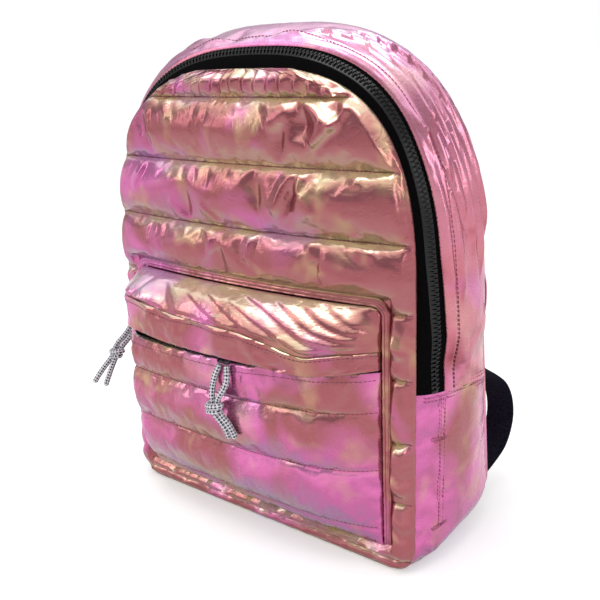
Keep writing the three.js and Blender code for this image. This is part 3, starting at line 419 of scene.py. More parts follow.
def grid_normals(grid, towards):
    """Unit normals of a grid, on the side of the given direction or directions."""
    du = np.gradient(grid, axis=1)
    dv = np.gradient(grid, axis=0)
    normal = np.cross(du, dv)
    normal /= np.maximum(np.linalg.norm(normal, axis=-1, keepdims=True), 1e-12)
    facing = np.sign((normal * towards).sum(-1, keepdims=True))
    return normal * np.where(facing == 0, 1, facing)


# Cloth simulation: each sheet is a grid that is held at its seams, swells and grows into wrinkles

sheets = []


def sheet(name, grid, held, grow, pressure, cap, towards=(0, -1, 0)):
    """Lists a grid for the simulation. held is 1 at a stitched point, and cap is how far a point may move."""
    sheets.append({
        "name": name, "grid": grid, "held": held, "grow": grow, "pressure": pressure, "cap": cap,
        "towards": towards,
    })


def cloth_object(entry):
    grid = entry["grid"]
    rows, columns = grid.shape[:2]
    faces = grid_faces(rows, columns)
    normals = grid_normals(grid, np.asarray(entry["towards"], float))
    face_normal = np.cross(grid[0, 1] - grid[0, 0], grid[1, 1] - grid[0, 0])
    if face_normal @ normals[0, 0] < 0:
        faces = faces[:, ::-1]
    mesh = bpy.data.meshes.new("sim_" + entry["name"])
    mesh.from_pydata(grid.reshape(-1, 3).tolist(), [], faces.tolist())
    temp = bpy.data.objects.new("sim_" + entry["name"], mesh)
    bpy.context.scene.collection.objects.link(temp)
    group = temp.vertex_groups.new(name="held")
    held = entry["held"].ravel()
    for weight in np.unique(held[held > 0]):
        group.add(np.flatnonzero(held == weight).tolist(), float(weight), "REPLACE")
    cloth = temp.modifiers.new("cloth", "CLOTH")
    settings = cloth.settings
    settings.vertex_group_mass = "held"
    settings.quality = 5
    settings.mass = CLOTH_MASS
    settings.air_damping = 3
    settings.tension_stiffness = CLOTH_STIFFNESS
    settings.compression_stiffness = CLOTH_STIFFNESS
    settings.shear_stiffness = CLOTH_STIFFNESS / 3
    settings.bending_stiffness = CLOTH_BENDING
    settings.shrink_min = -entry["grow"]
    settings.use_pressure = True
    settings.uniform_pressure_force = entry["pressure"]
    settings.effector_weights.gravity = 0
    return temp


def simulate():
    """Runs every sheet at once and gives back the moved grids by name."""
    temps = [cloth_object(entry) for entry in sheets]
    scene = bpy.context.scene
    for number in range(1, SIM_FRAMES + 1):
        scene.frame_set(number)
    depsgraph = bpy.context.evaluated_depsgraph_get()
    moved = {}
    for entry, temp in zip(sheets, temps):
        mesh = temp.evaluated_get(depsgraph).data
        flat = np.empty(len(mesh.vertices) * 3)
        mesh.vertices.foreach_get("co", flat)
        grid = flat.reshape(entry["grid"].shape)
        step = grid - entry["grid"]
        size = np.linalg.norm(step, axis=-1, keepdims=True)
        step *= np.minimum(1, entry["cap"] / np.maximum(size, 1e-9))
        moved[entry["name"]] = entry["grid"] + step
    for temp in temps:
        mesh = temp.data
        bpy.data.objects.remove(temp)
        bpy.data.meshes.remove(mesh)
    scene.frame_set(1)
    return moved


def rim(rows, columns):
    held = np.zeros((rows, columns))
    held[0] = held[-1] = 1
    held[:, 0] = held[:, -1] = 1
    return held


# Zip band and upper gusset

ZIP_TABLE = named_rows(
    "at width chain",
    (0, 0.65, 0.6), (0.15, 0.48, 0.58), (0.3, 0.34, 0.55), (0.5, 0.32, 0.55), (0.75, 0.38, 0.58),
    (0.9, 0.46, 0.66), (1, 0.48, 0.68),
)


def band_width(path):
    return ZIP_BAND * read_soft(ZIP_TABLE, path["along"], "width", 0.02)


def chain_centre(path):
    return band_width(path) * read_soft(ZIP_TABLE, path["along"], "chain", 0.02)


# Long folds of the upper gusset, as shares of its length from the right side seam and of its depth
GUSSET_FOLDS = named_rows(
    "from_along from_depth to_along to_depth height half",
    (0.5, 0.1, 0.2, 0.24, 1.0, 0.036), (0.47, 0.22, 0.13, 0.46, 1.0, 0.041),
    (0.45, 0.34, 0.1, 0.62, 0.8, 0.036), (0.42, 0.46, 0.14, 0.76, 1.0, 0.043),
    (0.38, 0.6, 0.16, 0.9, 0.7, 0.036), (0.3, 0.06, 0.09, 0.2, 0.7, 0.034),
    (0.33, 0.2, 0.17, 0.36, 0.6, 0.031), (0.53, 0.1, 0.84, 0.3, 0.9, 0.038),
    (0.56, 0.28, 0.86, 0.56, 0.9, 0.041), (0.58, 0.46, 0.82, 0.8, 0.9, 0.043),
)
FOLD_HEIGHT = 0.005


def gusset_folds(along, depth):
    edge = smooth(np.minimum(depth, 1 - depth) / 0.08) * smooth(np.minimum(along, 1 - along) / 0.05)
    total = np.zeros(np.broadcast(along, depth).shape)
    for fold in GUSSET_FOLDS:
        run = np.clip((along - fold["from_along"]) / (fold["to_along"] - fold["from_along"]), 0, 1)
        bend = 0.05 * np.sin(math.pi * run)
        centre = mix(fold["from_depth"], fold["to_depth"], run) + bend
        ends = smooth(np.sin(math.pi * run) * 2.2)
        distance = (depth - centre) / fold["half"]
        ridge = np.where(distance < 0, bump(distance * 1.1), bump(distance * 0.6))
        total = np.maximum(total, fold["height"] * ends * ridge * edge)
    return total * FOLD_HEIGHT


def upper_gusset_grid(path):
    from_front = band_width(path) + GAP
    to_front = path["depth"] - GAP
    columns = round(float(np.median(path["depth"])) * 0.75 / GUSSET_GRID)
    share = np.linspace(0, 1, columns + 1)[None, :]
    distance = mix(from_front[:, None], to_front[:, None], share)
    whole = path["whole"][:, None]
    length = path["length"][:, None]
    lift = GUSSET_LIFT * smooth((1 - share) / 0.3) + gusset_folds(whole, share)
    width = (to_front - from_front)[:, None]
    lift = lift + ZIP_ROLL_HEIGHT * bump((share * width - ZIP_ROLL_FROM_ZIP) / ZIP_ROLL_HALF)
    lift = lift - STITCH_DIP * bump((share * width - STITCH_FROM_ZIP) / STITCH_DIP_HALF)
    lift = lift + puckers(length, share * width, seed=21, height=0.0006, reach=0.006, pitch=0.0075)
    lift = lift + puckers(length, (1 - share) * width, seed=22, height=0.0008, reach=0.009, pitch=0.010)
    return skin(path, distance, lift), skin(path, distance, lift - GUSSET_WALL)


UPPER = whole_path(["upper", "arch"], GRID, True)
LOWER = whole_path(["base", "corner", "lower"], GRID, False)


def skin_directions(path):
    """Outward directions of the bag's side at each station."""
    a, b = path["a"], path["b"]
    out_x = path["side"] * (a[:, 2] + b[:, 2]) / 2
    out_z = (a[:, 3] + b[:, 3]) / 2
    return np.stack([out_x, 0 * out_x, out_z], -1)[:, None, :]


def lower_gusset_grid(path):
    columns = round(BASE_DEPTH / GRID)
    share = np.linspace(0, 1, columns + 1)[None, :]
    distance = mix(GAP, path["depth"][:, None] - GAP, share)
    length = path["length"][:, None]
    ends = np.minimum(path["whole"], 1 - path["whole"])[:, None] * path["length"][-1]
    height = skin(path, distance, 0.0)[..., 2]
    off_floor = smooth(height / 0.02)
    behind = share * path["depth"][:, None]
    lift = off_floor * puckers(length, behind, seed=31, height=0.0009, reach=0.010, pitch=0.009)
    by_ends = puckers(distance + 0 * length, ends, seed=32, height=0.0012, reach=0.009, pitch=0.008)
    lift = lift + off_floor * by_ends
    return skin(path, distance, lift), skin(path, distance, lift - GUSSET_WALL)


# Quilted front panel

SEAMS = np.arange(LOWEST_SEAM, FRONT_HEIGHT - SEAM_PITCH / 4, SEAM_PITCH)

CHANNEL_DENTS = named_rows(
    "side up half_side half_up depth",
    (0.44, 0.9, 0.07, 0.035, 0.75), (0.62, 0.92, 0.05, 0.02, 0.5), (0.3, 0.87, 0.05, 0.03, 0.5),
    (0.36, 0.77, 0.04, 0.04, 0.6), (0.15, 0.76, 0.05, 0.04, 0.5), (-0.35, 0.72, 0.06, 0.03, 0.5),
    (-0.7, 0.88, 0.06, 0.04, 0.4), (0.5, 0.63, 0.05, 0.04, 0.5), (-0.1, 0.62, 0.05, 0.04, 0.4),
)

# Creases of the channels that show bright: from and to as shares of half width and height
CREASES = named_rows(
    "from_side from_up to_side to_up height half",
    (0.41, 0.952, 0.6, 0.896, 0.006, 0.03), (0.69, 0.937, 0.6, 0.884, 0.0045, 0.02),
    (0.65, 0.91, 0.48, 0.852, 0.0055, 0.02), (0.38, 0.932, 0.22, 0.884, 0.0034, 0.036),
    (0.92, 0.9, 0.82, 0.872, 0.0028, 0.019), (0.39, 0.818, 0.27, 0.714, 0.005, 0.022),
    (0.43, 0.812, 0.42, 0.764, 0.0028, 0.019), (0.73, 0.818, 0.74, 0.784, 0.0026, 0.019),
    (0.44, 0.778, 0.51, 0.722, 0.0032, 0.03), (-0.53, 0.955, -0.44, 0.886, 0.003, 0.019),
    (-0.64, 0.926, -0.61, 0.858, 0.0022, 0.019), (-0.7, 0.814, -0.77, 0.742, 0.0022, 0.019),
    (-0.48, 0.736, -0.32, 0.672, 0.0028, 0.02), (-0.23, 0.736, -0.08, 0.682, 0.0024, 0.02),
    (0.12, 0.68, 0.1, 0.616, 0.0034, 0.019), (0.48, 0.694, 0.51, 0.63, 0.0032, 0.019),
    (0.67, 0.694, 0.84, 0.664, 0.003, 0.022), (-0.2, 0.686, -0.14, 0.624, 0.0022, 0.019),
)


def channel_share(z):
    edges = np.concatenate([[0], SEAMS, [FRONT_HEIGHT]])
    index = np.clip(np.searchsorted(edges, z, "right") - 1, 0, len(edges) - 2)
    return edges[index], edges[index + 1]


def channel_profile(z):
    below, above = channel_share(z)
    share = (z - below) / (above - below)
    size = np.minimum(1, (above - below) / (SEAM_PITCH * 0.6))
    return size * np.maximum(0, 1 - (2 * share - 1) ** 2) ** PUFF_POWER


def panel_inner(x, z):
    half = half_at(FRONT, z)
    across = 1 - np.minimum(1, (x / half) ** 2)
    return GAP / 2 + PANEL_BOW * across * np.sin(np.clip(math.pi * z / FRONT_HEIGHT, 0, math.pi)) ** 0.6


def behind_pocket(x, z):
    ramp = SEAM_WALL + GAP
    in_side = smooth((POCKET_HALF + ramp - np.abs(x)) / ramp)
    in_top = smooth((POCKET_TOP + ramp - z) / ramp)
    in_bottom = smooth((z - POCKET_BOTTOM + ramp) / ramp)
    return in_side * in_top * in_bottom


def dents_at(side, up):
    total = 0
    for dent in CHANNEL_DENTS:
        across = bump((side - dent["side"]) / dent["half_side"])
        total = total + dent["depth"] * across * bump((up - dent["up"]) / dent["half_up"])
    return total


def line_ridges(side, up, table):
    """Ridges along straight lines of a table, sharper on one side than the other."""
    total = np.zeros(np.broadcast(side, up).shape)
    for row in table:
        ax, ay, bx, by = row["from_side"], row["from_up"] * 2.5, row["to_side"], row["to_up"] * 2.5
        px, py = side - ax, up * 2.5 - ay
        dx, dy = bx - ax, by - ay
        size = math.hypot(dx, dy)
        run = (px * dx + py * dy) / size**2
        off = (px * dy - py * dx) / size
        ends = smooth(run / 0.25) * smooth((1 - run) / 0.25)
        ridge = np.where(off < 0, bump(off / row["half"]), bump(off / (2.2 * row["half"])))
        total = total + row["height"] * ends * ridge
    return total


def panel_outer(x, z):
    half = half_at(FRONT, z)
    side_edge = smooth((half - np.abs(x)) / (CHANNEL_PUFF * 0.8))
    top_edge = smooth((FRONT_HEIGHT - z) / CHANNEL_PUFF)
    puff = CHANNEL_PUFF * channel_profile(z) * side_edge * top_edge * (1 - behind_pocket(x, z))
    dent = 1 - np.clip(dents_at(x / HALF_FRONT, z / FRONT_HEIGHT), 0, 0.75)
    return panel_inner(x, z) + SEAM_WALL + puff * dent


def before_front(x, z, out):
    return np.stack(np.broadcast_arrays(x, plane_y(FRONT, z) - out, z), -1)


def rows_between(edges, spacing):
    """Heights that hit every edge, at about even steps."""
    rows = [edges[0]]
    for low, high in zip(edges[:-1], edges[1:]):
        count = max(1, round((high - low) / spacing))
        rows.extend(mix(low, high, (k + 1) / count) for k in range(count))
    return np.array(rows)


def front_panel_grid():
    heights = rows_between([0.0005, *SEAMS, FRONT_HEIGHT - 0.0004], FINE_GRID)
    columns = round(FRONT_WIDTH / FINE_GRID)
    share = np.linspace(-1, 1, columns + 1)[None, :]
    z = heights[:, None] + 0 * share
    x = share * half_at(FRONT, z)
    free = 1 - behind_pocket(x, z)
    below, above = channel_share(z)
    from_below, from_above = z - below, above - z
    seam_fade = smooth((half_at(FRONT, z) - np.abs(x)) / 0.006)
    gather = puckers(x, from_below, seed=41, height=0.0005, reach=0.005, pitch=0.009)
    gather = gather + puckers(x, from_above, seed=42, height=0.0009, reach=0.006, pitch=0.009)
    side_gather = puckers(z, half_at(FRONT, z) - np.abs(x), seed=43, height=0.0010, reach=0.007, pitch=0.010)
    by_top = puckers(x, FRONT_HEIGHT - z + 0.002, seed=44, height=0.0032, reach=0.020, pitch=0.008)
    by_top = smooth((z - TOP_GATHER_FROM) / 0.004) * by_top
    crease = line_ridges(x / HALF_FRONT, z / FRONT_HEIGHT, CREASES)
    crease = crease * smooth(from_below / 0.004) * smooth(from_above / 0.004)
    strip = smooth((np.abs(x) - POCKET_HALF) / 0.003) * smooth((POCKET_TOP - z) / 0.01)
    slant = Ripple(45).at((z + 0.6 * np.abs(x)) / SLANT_PITCH, x / 0.04) * SLANT_HEIGHT * strip
    slant = slant * smooth(from_below / 0.006) * smooth(from_above / 0.006)
    pleat = PLEAT_HEIGHT * np.sin(2 * math.pi * x / PLEAT_PITCH + 3 * Ripple(46).at(x / 0.03))
    pleat = pleat * smooth((z - PLEATS_FROM) / 0.004) * smooth((FRONT_HEIGHT - z) / 0.004)
    extra = (gather + side_gather + by_top + pleat + crease + slant) * free * seam_fade
    outer = before_front(x, z, panel_outer(x, z) + extra)
    inner = before_front(x, z, panel_inner(x, z))
    on_seam = np.isin(np.round(z, 6), np.round(SEAMS, 6)) | (free < 0.5)
    held = np.maximum(rim(*z.shape), on_seam.astype(float))
    return outer, inner, held


# Back panel

def back_outer(x, z):
    half = half_at(REAR, z)
    across = smooth((half - np.abs(x)) / (BACK_PUFF * 3))
    ends = smooth(z / (BACK_PUFF * 3)) * smooth((REAR_HEIGHT - z) / (BACK_PUFF * 3))
    return BACK_WALL + BACK_PUFF * across * ends


def behind_back(x, z, out):
    return np.stack(np.broadcast_arrays(x, plane_y(REAR, z) + out, z), -1)


def back_panel_grid():
    heights = np.linspace(0.0006, REAR_HEIGHT - 0.0008, round(REAR_HEIGHT / (1.4 * GRID)))
    share = np.sin(np.linspace(-math.pi / 2, math.pi / 2, round(REAR_WIDTH / (1.4 * GRID))))[None, :]
    z = heights[:, None] + 0 * share
    x = share * half_at(REAR, z)
    edge = half_at(REAR, z) - np.abs(x)
    gather = puckers(z, edge, seed=51, height=0.0012, reach=0.012, pitch=0.011) * smooth(edge / 0.004)
    gather = gather + 0.0006 * Ripple(52).at(x / 0.05, z / 0.06) * smooth(edge / 0.02)
    ends = smooth(z / 0.01) * smooth((REAR_HEIGHT - z) / 0.01)
    clear = smooth((REAR_HEIGHT - 0.055 - z) / 0.02)
    return behind_back(x, z, back_outer(x, z) + gather * ends * clear), behind_back(x, z, GAP / 2 + 0 * x)


# Front pocket

POCKET_ACROSS = named_rows(
    "at swell",
    (-1, 0), (-0.985, 0.55), (-0.96, 0.85), (-0.9, 0.97), (-0.7, 1), (0.5, 1), (0.65, 0.95), (0.78, 0.72),
    (0.9, 0.42), (1, 0),
)
POCKET_SWELL = named_rows(
    "at swell",
    (0, 0), (0.04, 0.2), (0.1, 0.38), (0.2, 0.52), (0.38, 0.72), (0.54, 0.82), (0.64, 0.86), (0.78, 0.84),
    (1, 0.8),
)
POCKET_SEAMS = [0.1, 0.45, 0.78]
POCKET_CHANNEL_PUFFS = [0.25, 1, 1, 0.9]
UPPER_SWELL = named_rows(
    "at swell",
    (0, 1), (0.2, 0.97), (0.4, 0.84), (0.6, 0.62), (0.8, 0.34), (1, 0.08),
)
ZIP_EDGE = named_rows(
    "at rise",
    (-1, 0), (-0.1, 0.34), (0.14, 0.38), (0.5, 1),
)

# The ridge over the zip sags to the right, and the flap's lower edge wavers with it
RIDGE_LINE = named_rows(
    "at ridge flap",
    (-1, 0.48, 0.16), (-0.45, 0, -0.16), (0.18, -0.16, -0.1), (0.4, -0.55, -0.14), (0.62, -1, -0.2),
    (0.8, -0.72, -0.04), (1, -0.72, 0.12),
)

# Diagonal folds of the pocket's upper panel: they gather towards its right-hand corner and the ridge
POCKET_FOLDS = named_rows(
    "from_side from_up to_side to_up height half",
    (0.9, 0.1, 0.1, 0.95, 0.004, 0.06), (0.92, 0.22, 0.32, 0.97, 0.0036, 0.051),
    (0.93, 0.36, 0.52, 0.98, 0.0032, 0.051), (0.94, 0.52, 0.7, 0.98, 0.0026, 0.051),
    (0.7, 0.04, -0.06, 0.8, 0.0034, 0.06), (0.34, 0.04, -0.2, 0.85, 0.003, 0.06),
    (0.12, 0.04, -0.36, 0.75, 0.0026, 0.06), (-0.8, 0.05, -0.66, 0.95, 0.0034, 0.06),
    (-0.92, 0.1, -0.82, 0.95, 0.003, 0.051), (-0.3, 0.05, -0.55, 0.8, 0.0022, 0.068),
)


def swell_across(x):
    return read_soft(POCKET_ACROSS, x / PANEL_HALF, "swell", 0.012)


def on_panel(x, z):
    """How far the front panel's face stands out behind the pocket, without its fine folds."""
    return panel_outer(x, z) + GAP


def pocket_half_at(z):
    corner = POCKET_CORNER - BINDING_WIDTH - GAP
    up = np.clip(z - (POCKET_TOP - POCKET_CORNER), 0, corner)
    return PANEL_HALF - corner + np.sqrt(corner**2 - up**2)


def zip_bottom_at(share):
    return POCKET_ZIP_BOTTOM + POCKET_ZIP_RISE * read_soft(ZIP_EDGE, share, "rise", 0.03)


def ridge_at(share):
    return RIDGE_HEIGHT + RIDGE_DIP * read_soft(RIDGE_LINE, share, "ridge", 0.04)


def flap_bottom_at(share):
    return FLAP_BOTTOM + RIDGE_DIP * read_soft(RIDGE_LINE, share, "flap", 0.04)


def pocket_shares():
    """Finer at the steep left side."""
    even = np.linspace(-1, 1, round(2 * PANEL_HALF / FINE_GRID) + 1)
    steep = [-0.995, -0.99, -0.985, -0.975, -0.965, -0.955]
    return np.unique(np.concatenate([even, steep]))[None, :]


def pocket_grid(height, rise):
    """A grid before the front panel from heights and from how far each point stands off the panel."""
    share = pocket_shares() + 0 * height
    z = height
    x = share * pocket_half_at(z)
    return x, z, before_front(x, z, on_panel(x, z) + rise(x, z))


def pocket_lower_grid():
    share = pocket_shares()
    at = rows_between([0, *POCKET_SEAMS, 1], GRID / (POCKET_ZIP_BOTTOM - POCKET_BOTTOM))[:, None]
    height = mix(POCKET_BOTTOM, zip_bottom_at(share) - GAP, at)
    span = POCKET_ZIP_BOTTOM - POCKET_BOTTOM
    edges = np.array([0, *POCKET_SEAMS, 1])
    index = np.clip(np.searchsorted(edges, at, "right") - 1, 0, len(edges) - 2)
    low, high = edges[index], edges[index + 1]
    puff_of = np.array(POCKET_CHANNEL_PUFFS)[index]
    part = (at - low) / (high - low)
    profile = np.maximum(0, 1 - (2 * part - 1) ** 2) ** 0.6
    profile = np.where(index == len(edges) - 2, np.maximum(profile, smooth(part) * 0.35), profile)
    swell = read_soft(POCKET_SWELL, at, "swell", 0.02)

    def outer_rise(x, z):
        away = swell_across(x)
        gather = puckers(x, (at - low) * span + 0 * x, seed=61, height=0.0013, reach=0.008, pitch=0.0085)
        above = (high - at) * span + 0 * x
        gather = gather + puckers(x, above, seed=62, height=0.0013, reach=0.008, pitch=0.0085)
        side_gather = puckers(z, PANEL_HALF - x, seed=63, height=0.0013, reach=0.014, pitch=0.010)
        padding = (POCKET_DEPTH * swell + POCKET_PUFF * puff_of * profile) * away
        at_side = side_gather * smooth((PANEL_HALF - x) / 0.006) * 0.8
        return POCKET_WALL + padding + gather * away + at_side

    x, z, outer = pocket_grid(height + 0 * share, outer_rise)
    inner = pocket_grid(height + 0 * share, lambda x, z: POCKET_DEPTH * swell * swell_across(x))[2]
    held = rim(*z.shape)
    held[:, :] = np.maximum(held, np.isin(np.round(at, 6), np.round(POCKET_SEAMS, 6)).astype(float))
    return outer, inner, held


def pocket_upper_grid():
    at = np.linspace(0, 1, round((BINDING_LOW - RIDGE_HEIGHT) * 1.45 / GUSSET_GRID) + 1)[:, None]
    share = pocket_shares()
    height = mix(ridge_at(share) + GAP, BINDING_LOW, at)
    swell = read_soft(UPPER_SWELL, at, "swell", 0.04)
    ends = smooth(np.minimum(at, 1 - at) / 0.12)
    drop = (BINDING_LOW - RIDGE_HEIGHT) * 1.4

    def outer_rise(x, z):
        fold = pocket_folds_at(x / PANEL_HALF, at)
        gather = puckers(x, at * drop + 0 * x, seed=64, height=0.0014, reach=0.007, pitch=0.007)
        above = (1 - at) * drop + 0 * x
        gather = gather + puckers(x, above, seed=65, height=0.0014, reach=0.008, pitch=0.007)
        away = np.minimum(1, 2.5 * swell_across(x))
        return POCKET_WALL + POCKET_DEPTH * swell * swell_across(x) + (fold * ends + gather) * away

    x, z, outer = pocket_grid(height, outer_rise)
    inner = pocket_grid(height, lambda x, z: POCKET_DEPTH * swell * swell_across(x))[2]
    return outer, inner, rim(*z.shape)


def pocket_folds_at(side, at):
    total = np.zeros(np.broadcast(side, at).shape)
    for row in POCKET_FOLDS:
        run = np.clip((at - row["from_up"]) / (row["to_up"] - row["from_up"]), 0, 1)
        inside = smooth((at - row["from_up"]) / 0.12) * smooth((row["to_up"] - at) / 0.12)
        off = (side - mix(row["from_side"], row["to_side"], run)) / row["half"]
        ridge = np.where(off < 0, bump(off), bump(off / 2.4))
        total = np.maximum(total, row["height"] * inside * ridge)
    return total


def flap_grid():
    at = np.linspace(0, 1, round(FLAP_WIDTH / GRID) + 3)[:, None]
    share = pocket_shares()
    height = mix(flap_bottom_at(share), ridge_at(share), at)

    def inner_rise(x, z):
        return POCKET_ZIP_WALL + GAP + POCKET_DEPTH * swell_across(x)

    def outer_rise(x, z):
        fold = 0.0009 * bump((at - 0.94) / 0.05) + 0.0007 * bump((at - 0.04) / 0.06)
        fold = fold - 0.0007 * bump((at - 0.8) / 0.03)
        gather = puckers(x, (1 - at) * FLAP_WIDTH + 0 * x, seed=66, height=0.0011, reach=0.006, pitch=0.006)
        inside = smooth(at / 0.2) * smooth((1 - at) / 0.2)
        gather = gather + 0.0010 * Ripple(67).at(x / 0.02, z / 0.02) * inside
        return inner_rise(x, z) + FLAP_WALL + fold + gather * np.minimum(1, 2 * swell_across(x))

    x, z, outer = pocket_grid(height, outer_rise)
    inner = pocket_grid(height, inner_rise)[2]
    return outer, inner, rim(*z.shape)


def tape_wall(rows, outer_rise, inner_rise):
    height = np.array([row["height"] + 0 * pocket_shares()[0] for row in rows])
    tuck = np.array([[row["tuck"]] for row in rows])
    outer = pocket_grid(height, lambda x, z: outer_rise(x, tuck))[2]
    inner = pocket_grid(height, lambda x, z: inner_rise(x, tuck))[2]
    return wall(outer, inner)


def binding_corner(side, angles):
    """Points round one upper corner of the pocket, as rows x, z, out x, out z."""
    rows = []
    for angle in angles:
        out_x, out_z = side * math.cos(angle), math.sin(angle)
        x = side * (POCKET_HALF - POCKET_CORNER) + POCKET_CORNER * out_x
        rows.append((x, POCKET_TOP - POCKET_CORNER * (1 - out_z), out_x, out_z))
    return rows


def binding_grid():
    """The piped band round the pocket's sides and top, with two stitched grooves."""
    low_x, high_z = POCKET_HALF, POCKET_TOP
    quarter = np.linspace(0, math.pi / 2, 14)
    spots = [(-low_x, z, -1, 0) for z in np.arange(POCKET_BOTTOM, high_z - POCKET_CORNER, GRID / 2)]
    spots.extend(binding_corner(-1, quarter))
    across = np.arange(-low_x + POCKET_CORNER + GRID / 2, low_x - POCKET_CORNER, GRID / 2)
    spots.extend((x, high_z, 0, 1) for x in across)
    spots.extend(binding_corner(1, quarter[::-1]))
    down = np.arange(high_z - POCKET_CORNER - GRID / 2, POCKET_BOTTOM, -GRID / 2)
    spots.extend((low_x, z, 1, 0) for z in down)
    spots = np.array(spots)
    share = np.linspace(0, 1, 17)[None, :]
    x = spots[:, 0:1] - spots[:, 2:3] * BINDING_WIDTH * share
    z = spots[:, 1:2] - spots[:, 3:4] * BINDING_WIDTH * share
    length = run_length(spots[:, 0:2])[:, None]
    ridges = 0.45 + 0.55 * np.abs(np.cos(math.pi * (share - 0.08) / 0.42)) ** 0.5
    round_off = np.sqrt(np.clip(np.minimum(share, 1 - share) / 0.1, 0.02, 1))
    ripple = 1 + 0.16 * Ripple(71).at(length / 0.0035, share * 2)
    crown = BINDING_WALL * ridges * round_off * ripple
    outer = before_front(x, z, on_panel(x, z) + crown)
    inner = before_front(x, z, on_panel(x, z))
    return outer, inner


# Straps and webbing

STRAP_TABLE = named_rows(
    "at side out width pad",
    (0, 0, 0.29, 0.8, 0.5), (0.1, 0.04, 1.1, 0.92, 1), (0.3, 0.26, 2.2, 1, 1), (0.55, 0.58, 2.6, 1, 1),
    (0.8, 0.9, 2.3, 0.82, 1), (0.93, 1, 2, 0.56, 0.35), (0.97, 1, 2, 0.46, 0), (1, 1, 2, 0.44, 0),
)
WEBBING_BOW = named_rows(
    "up side out",
    (0, 0, 0), (0.02, 0.05, 0.3), (0.14, 0.3, 0.78), (0.4, 0.45, 1), (0.7, 0.2, 0.88),
)


def smooth_line(points, spacing):
    """Even points on a centripetal spline through the given ones, their shares of it and their lengths."""
    p = np.asarray(points, float)
    p = np.concatenate([[2 * p[0] - p[1]], p, [2 * p[-1] - p[-2]]])
    dense, place = [], []
    for k in range(1, len(p) - 2):
        p0, p1, p2, p3 = p[k - 1:k + 3]
        t = [0.0]
        for a, b in ((p0, p1), (p1, p2), (p2, p3)):
            t.append(t[-1] + max(np.linalg.norm(b - a), 1e-9) ** 0.5)
        for s in np.linspace(0, 1, 24, endpoint=False):
            at = mix(t[1], t[2], s)
            a1 = mix(p0, p1, (at - t[0]) / (t[1] - t[0]))
            a2 = mix(p1, p2, (at - t[1]) / (t[2] - t[1]))
            a3 = mix(p2, p3, (at - t[2]) / (t[3] - t[2]))
            b1 = mix(a1, a2, (at - t[0]) / (t[2] - t[0]))
            b2 = mix(a2, a3, (at - t[1]) / (t[3] - t[1]))
            dense.append(mix(b1, b2, (at - t[1]) / (t[2] - t[1])))
            place.append((k - 1 + s) / (len(p) - 3))
    dense.append(p[-2])
    place.append(1.0)
    dense, place = np.array(dense), np.array(place)
    length = run_length(dense)
    even = np.linspace(0, length[-1], max(2, round(length[-1] / spacing)) + 1)
    return resample(dense, length, even), np.interp(even, length, place), even


def band_grid(rows, spacing, across, wall_at):
    """Outer and inner grids of a band whose width lies along X."""
    points = [behind_back(np.array(r["side"]), np.array(r["up"]), np.array(r["out"])) for r in rows]
    line, place, length = smooth_line(points, spacing)
    table = [{"at": k / (len(rows) - 1), "width": r["width"], "pad": r["pad"]} for k, r in enumerate(rows)]
    tangent = np.gradient(line, axis=0)
    normal = np.stack([0 * tangent[:, 0], -tangent[:, 2], tangent[:, 1]], -1)
    normal /= np.linalg.norm(normal, axis=1, keepdims=True)
    half = read_soft(table, place, "width", 0.02)[:, None] / 2
    pad = read_soft(table, place, "pad", 0.02)[:, None]
    thick = wall_at(pad, across[None, :], length[:, None]) / 2
    spot = line[:, None, :] + np.stack([half * across, 0 * half * across, 0 * half * across], -1)
    step = normal[:, None, :] * thick[..., None]
    return spot + step, spot - step


def strap_grids(side):
    back_face = BACK_WALL + BACK_PUFF + GAP
    low_end = BUCKLE_HEIGHT_ABOVE_BASE + BUCKLE_HEIGHT / 2 - BUCKLE_BAR
    tab_out = BUCKLE_FROM_BACK + BUCKLE_WALL / 2 + GAP + STRAP_TAB / 2
    rows = [{
        "side": side * mix(STRAP_TOP_SIDE, BUCKLE_SIDE, row["side"]),
        "up": mix(STRAP_TOP_HEIGHT, low_end, row["at"]),
        "out": back_face + (tab_out if row["at"] > 0.9 else row["out"] * STRAP_THICKNESS),
        "width": STRAP_WIDTH * row["width"],
        "pad": (STRAP_THICKNESS - STRAP_TAB) * row["pad"],
    } for row in STRAP_TABLE]
    across = np.sin(np.linspace(-math.pi / 2, math.pi / 2, 33))

    def thickness(pad, place, length):
        inside = np.clip(np.abs(place) / 0.86, 0, 1)
        pillow = np.sqrt(np.maximum(0, 1 - inside**2))
        ripple = 1 + 0.08 * Ripple(81).at(length / 0.012, place * 3)
        return STRAP_TAB + pad * pillow * ripple

    return band_grid(rows, 0.003, across, thickness)


def webbing_rows(side):
    back_face = BACK_WALL + BACK_PUFF + GAP
    foot_out = float(back_outer(WEBBING_FOOT_SIDE - WEBBING_WIDTH / 2, WEBBING_FOOT_HEIGHT)) + GAP
    buckle_low = BUCKLE_HEIGHT_ABOVE_BASE - BUCKLE_HEIGHT / 2
    bow_side = WEBBING_FOOT_SIDE + WEBBING_WIDTH / 4
    rows = [{
        "side": side * mix(WEBBING_FOOT_SIDE, bow_side, row["side"] * 2),
        "up": mix(WEBBING_FOOT_HEIGHT, buckle_low, row["up"]),
        "out": foot_out + row["out"] * WEBBING_REACH,
    } for row in WEBBING_BOW]
    clear = BUCKLE_WALL / 2 + GAP + WEBBING_WALL / 2 + GAP
    bar = BUCKLE_SLOT + BUCKLE_BAR
    edge = BUCKLE_BAR / 2
    weave = [
        (-bar - BUCKLE_BAR * 1.5, -clear * 1.3), (-bar - edge, -clear), (-bar + edge, -clear), (-edge, clear),
        (edge, clear), (bar - edge, -clear), (bar, -clear),
    ]
    rows.extend({
        "side": side * BUCKLE_SIDE,
        "up": BUCKLE_HEIGHT_ABOVE_BASE + up,
        "out": back_face + BUCKLE_FROM_BACK + out,
    } for up, out in weave)
    return [{**row, "width": WEBBING_WIDTH, "pad": 0} for row in rows]


